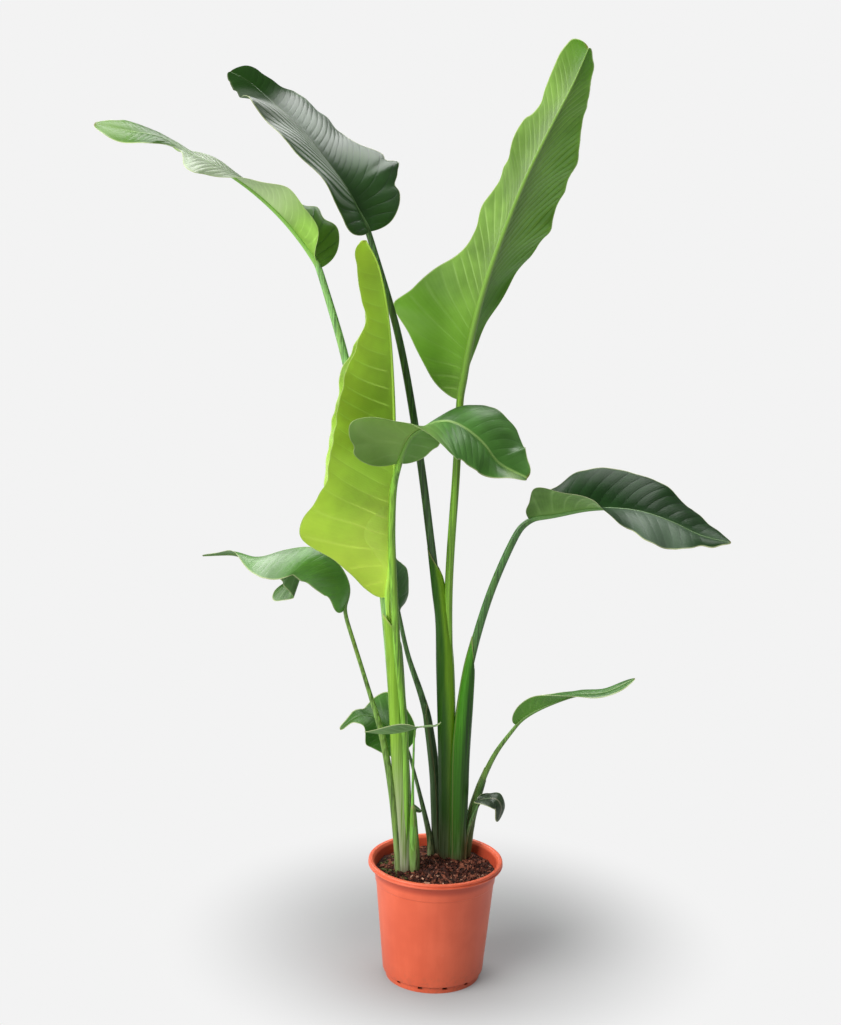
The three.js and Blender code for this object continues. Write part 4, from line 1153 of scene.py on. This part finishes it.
soil = {
    "edge": 199.5 * mm, "mound": 4 * mm, "floor": 7.5 * mm, "sides": 288, "crumb": 240.0,
    "chips": 1500, "chipSizes": ((1.0, 3.4), (0.8, 2.4), (0.5, 1.5)), "bigShare": 0.35, "bigger": 1.8,
    "kinds": (0.6, 0.95), "mossLeftOf": -50 * mm, "mossShare": 0.35, "seed": 5,
}


def soilHeight(x, y):
    # The soil's top: a low mound with soft hollows, lumps and fine crumbs
    mound = soil["mound"] * (1 - rise(45 * mm, wallAt(soil["edge"]) - 2.5 * mm, np.hypot(x, y)))
    lumps = 2.2 * mm * lattice(x * 45 + 9, y * 45 + 7, 3) + 1.5 * mm * lattice(x * 130 + 5, y * 130 + 3, 4)
    crumbs = 1.0 * mm * lattice(x * 330 + 20, y * 330 + 8, 6) + 0.5 * mm * lattice(x * 800 + 2, y * 800 + 4, 7)
    return soil["edge"] + mound + lumps + crumbs


def soilPiece(paint):
    # Rings from the middle of the top out to the wall, then down it and in along the floor
    reach = np.linspace(0.004, 1, 90) * (wallAt(soil["edge"]) - pot["wall"] - 0.9 * mm)
    topRings = circles(reach, 0 * reach, soil["sides"])
    topRings[..., 2] = soilHeight(topRings[..., 0], topRings[..., 1])
    inset = pot["wall"] + 0.4 * mm
    band, foot = wallAt(pot["bandStep"]) - inset, pot["footRadius"] - inset
    radius, height = np.transpose([
        (band, pot["bandStep"] + 1 * mm), (band - pot["bandProud"], pot["bandStep"] - 2 * mm),
        (pot["wallFoot"] - inset - 0.1 * mm, pot["footHeight"] + 5.2 * mm), (foot, pot["footHeight"] + 1 * mm),
        (foot, soil["floor"]), (40 * mm, soil["floor"]), (2 * mm, soil["floor"]),
    ])
    points, faces = sweptGrid(np.concatenate([topRings, circles(radius, height, soil["sides"])]))
    return meshFrom("soil_bed", points, faces, [paint], sharpAngle=180)


def chipsPiece(paints):
    # Bark chips and pale bits: small boxes pulled out of square, strewn flat-ish over the top
    chance = np.random.default_rng(soil["seed"])
    count = soil["chips"]
    cube = np.array([[x, y, z] for x in (-1, 1) for y in (-1, 1) for z in (-1, 1)], float)
    quads = np.array([[0, 1, 3, 2], [4, 6, 7, 5], [0, 4, 5, 1], [2, 3, 7, 6], [0, 2, 6, 4], [1, 5, 7, 3]])
    size = np.column_stack([chance.uniform(low, high, count) for low, high in soil["chipSizes"]]) * mm
    size[chance.uniform(0, 1, count) < soil["bigShare"]] *= soil["bigger"]
    corners = cube[None] * size[:, None] * chance.uniform(0.55, 1.2, (count, 8, 1))
    corners = corners * chance.uniform(0.7, 1.2, (count, 8, 3))
    yaw, (pitch, bank) = chance.uniform(0, 2 * np.pi, count), chance.normal(0, 0.5, (2, count))
    turnBy = turnsFrom(yaw, 0, 1) @ turnsFrom(pitch, 1, 2) @ turnsFrom(bank, 2, 0)
    corners = corners @ np.swapaxes(turnBy, 1, 2)
    reach = np.sqrt(chance.uniform(0, 1, count)) * (wallAt(soil["edge"]) - 9 * mm)
    angle = chance.uniform(0, 2 * np.pi, count)
    x, y = reach * np.cos(angle), reach * np.sin(angle)
    middle = np.column_stack([x, y, soilHeight(x, y) + 0.5 * mm])
    points = (corners + middle[:, None]).reshape(-1, 3)
    faces = (quads[None] + 8 * np.arange(count)[:, None, None]).reshape(-1, 4)
    kind = np.searchsorted(soil["kinds"], chance.uniform(0, 1, count))
    mossy = (x < soil["mossLeftOf"]) & (chance.uniform(0, 1, count) < soil["mossShare"])
    slots = np.repeat(np.where(mossy, 3, kind), len(quads))
    return meshFrom("soil_chips", points, faces, paints, slots, sharpAngle=35)


def soilPaint(name, dark, pale):
    # Crumbly mix: dark and paler brown crumbs of two sizes, dull all over
    paint = Paint(name)
    where = paint.place()
    crumb = paint.noise(where, soil["crumb"], 4.0, 0.7)
    clod = paint.noise(where, soil["crumb"] / 6)
    tone = paint.mix(paint.rise(crumb * 0.7 + clod * 0.3, 0.38, 0.66), linear(dark), linear(pale))
    return paint.end(paint.skin(tone, clod * 0.1 + 0.85, paint.bump(crumb * 0.0012), 0.25))


finishPiece(soilPiece(soilPaint("pottingMix", (22, 11, 8), (72, 38, 27))), "potting_mix", "soil")
chipPaints = [
    soilPaint("barkDark", (36, 18, 13), (90, 46, 33)),
    soilPaint("barkBrown", (84, 44, 32), (146, 88, 66)),
    soilPaint("paleBits", (140, 98, 78), (196, 154, 130)),
    soilPaint("mossBits", (58, 64, 30), (108, 108, 62)),
]
finishPiece(chipsPiece(chipPaints), "potting_mix")
print("soil filled")
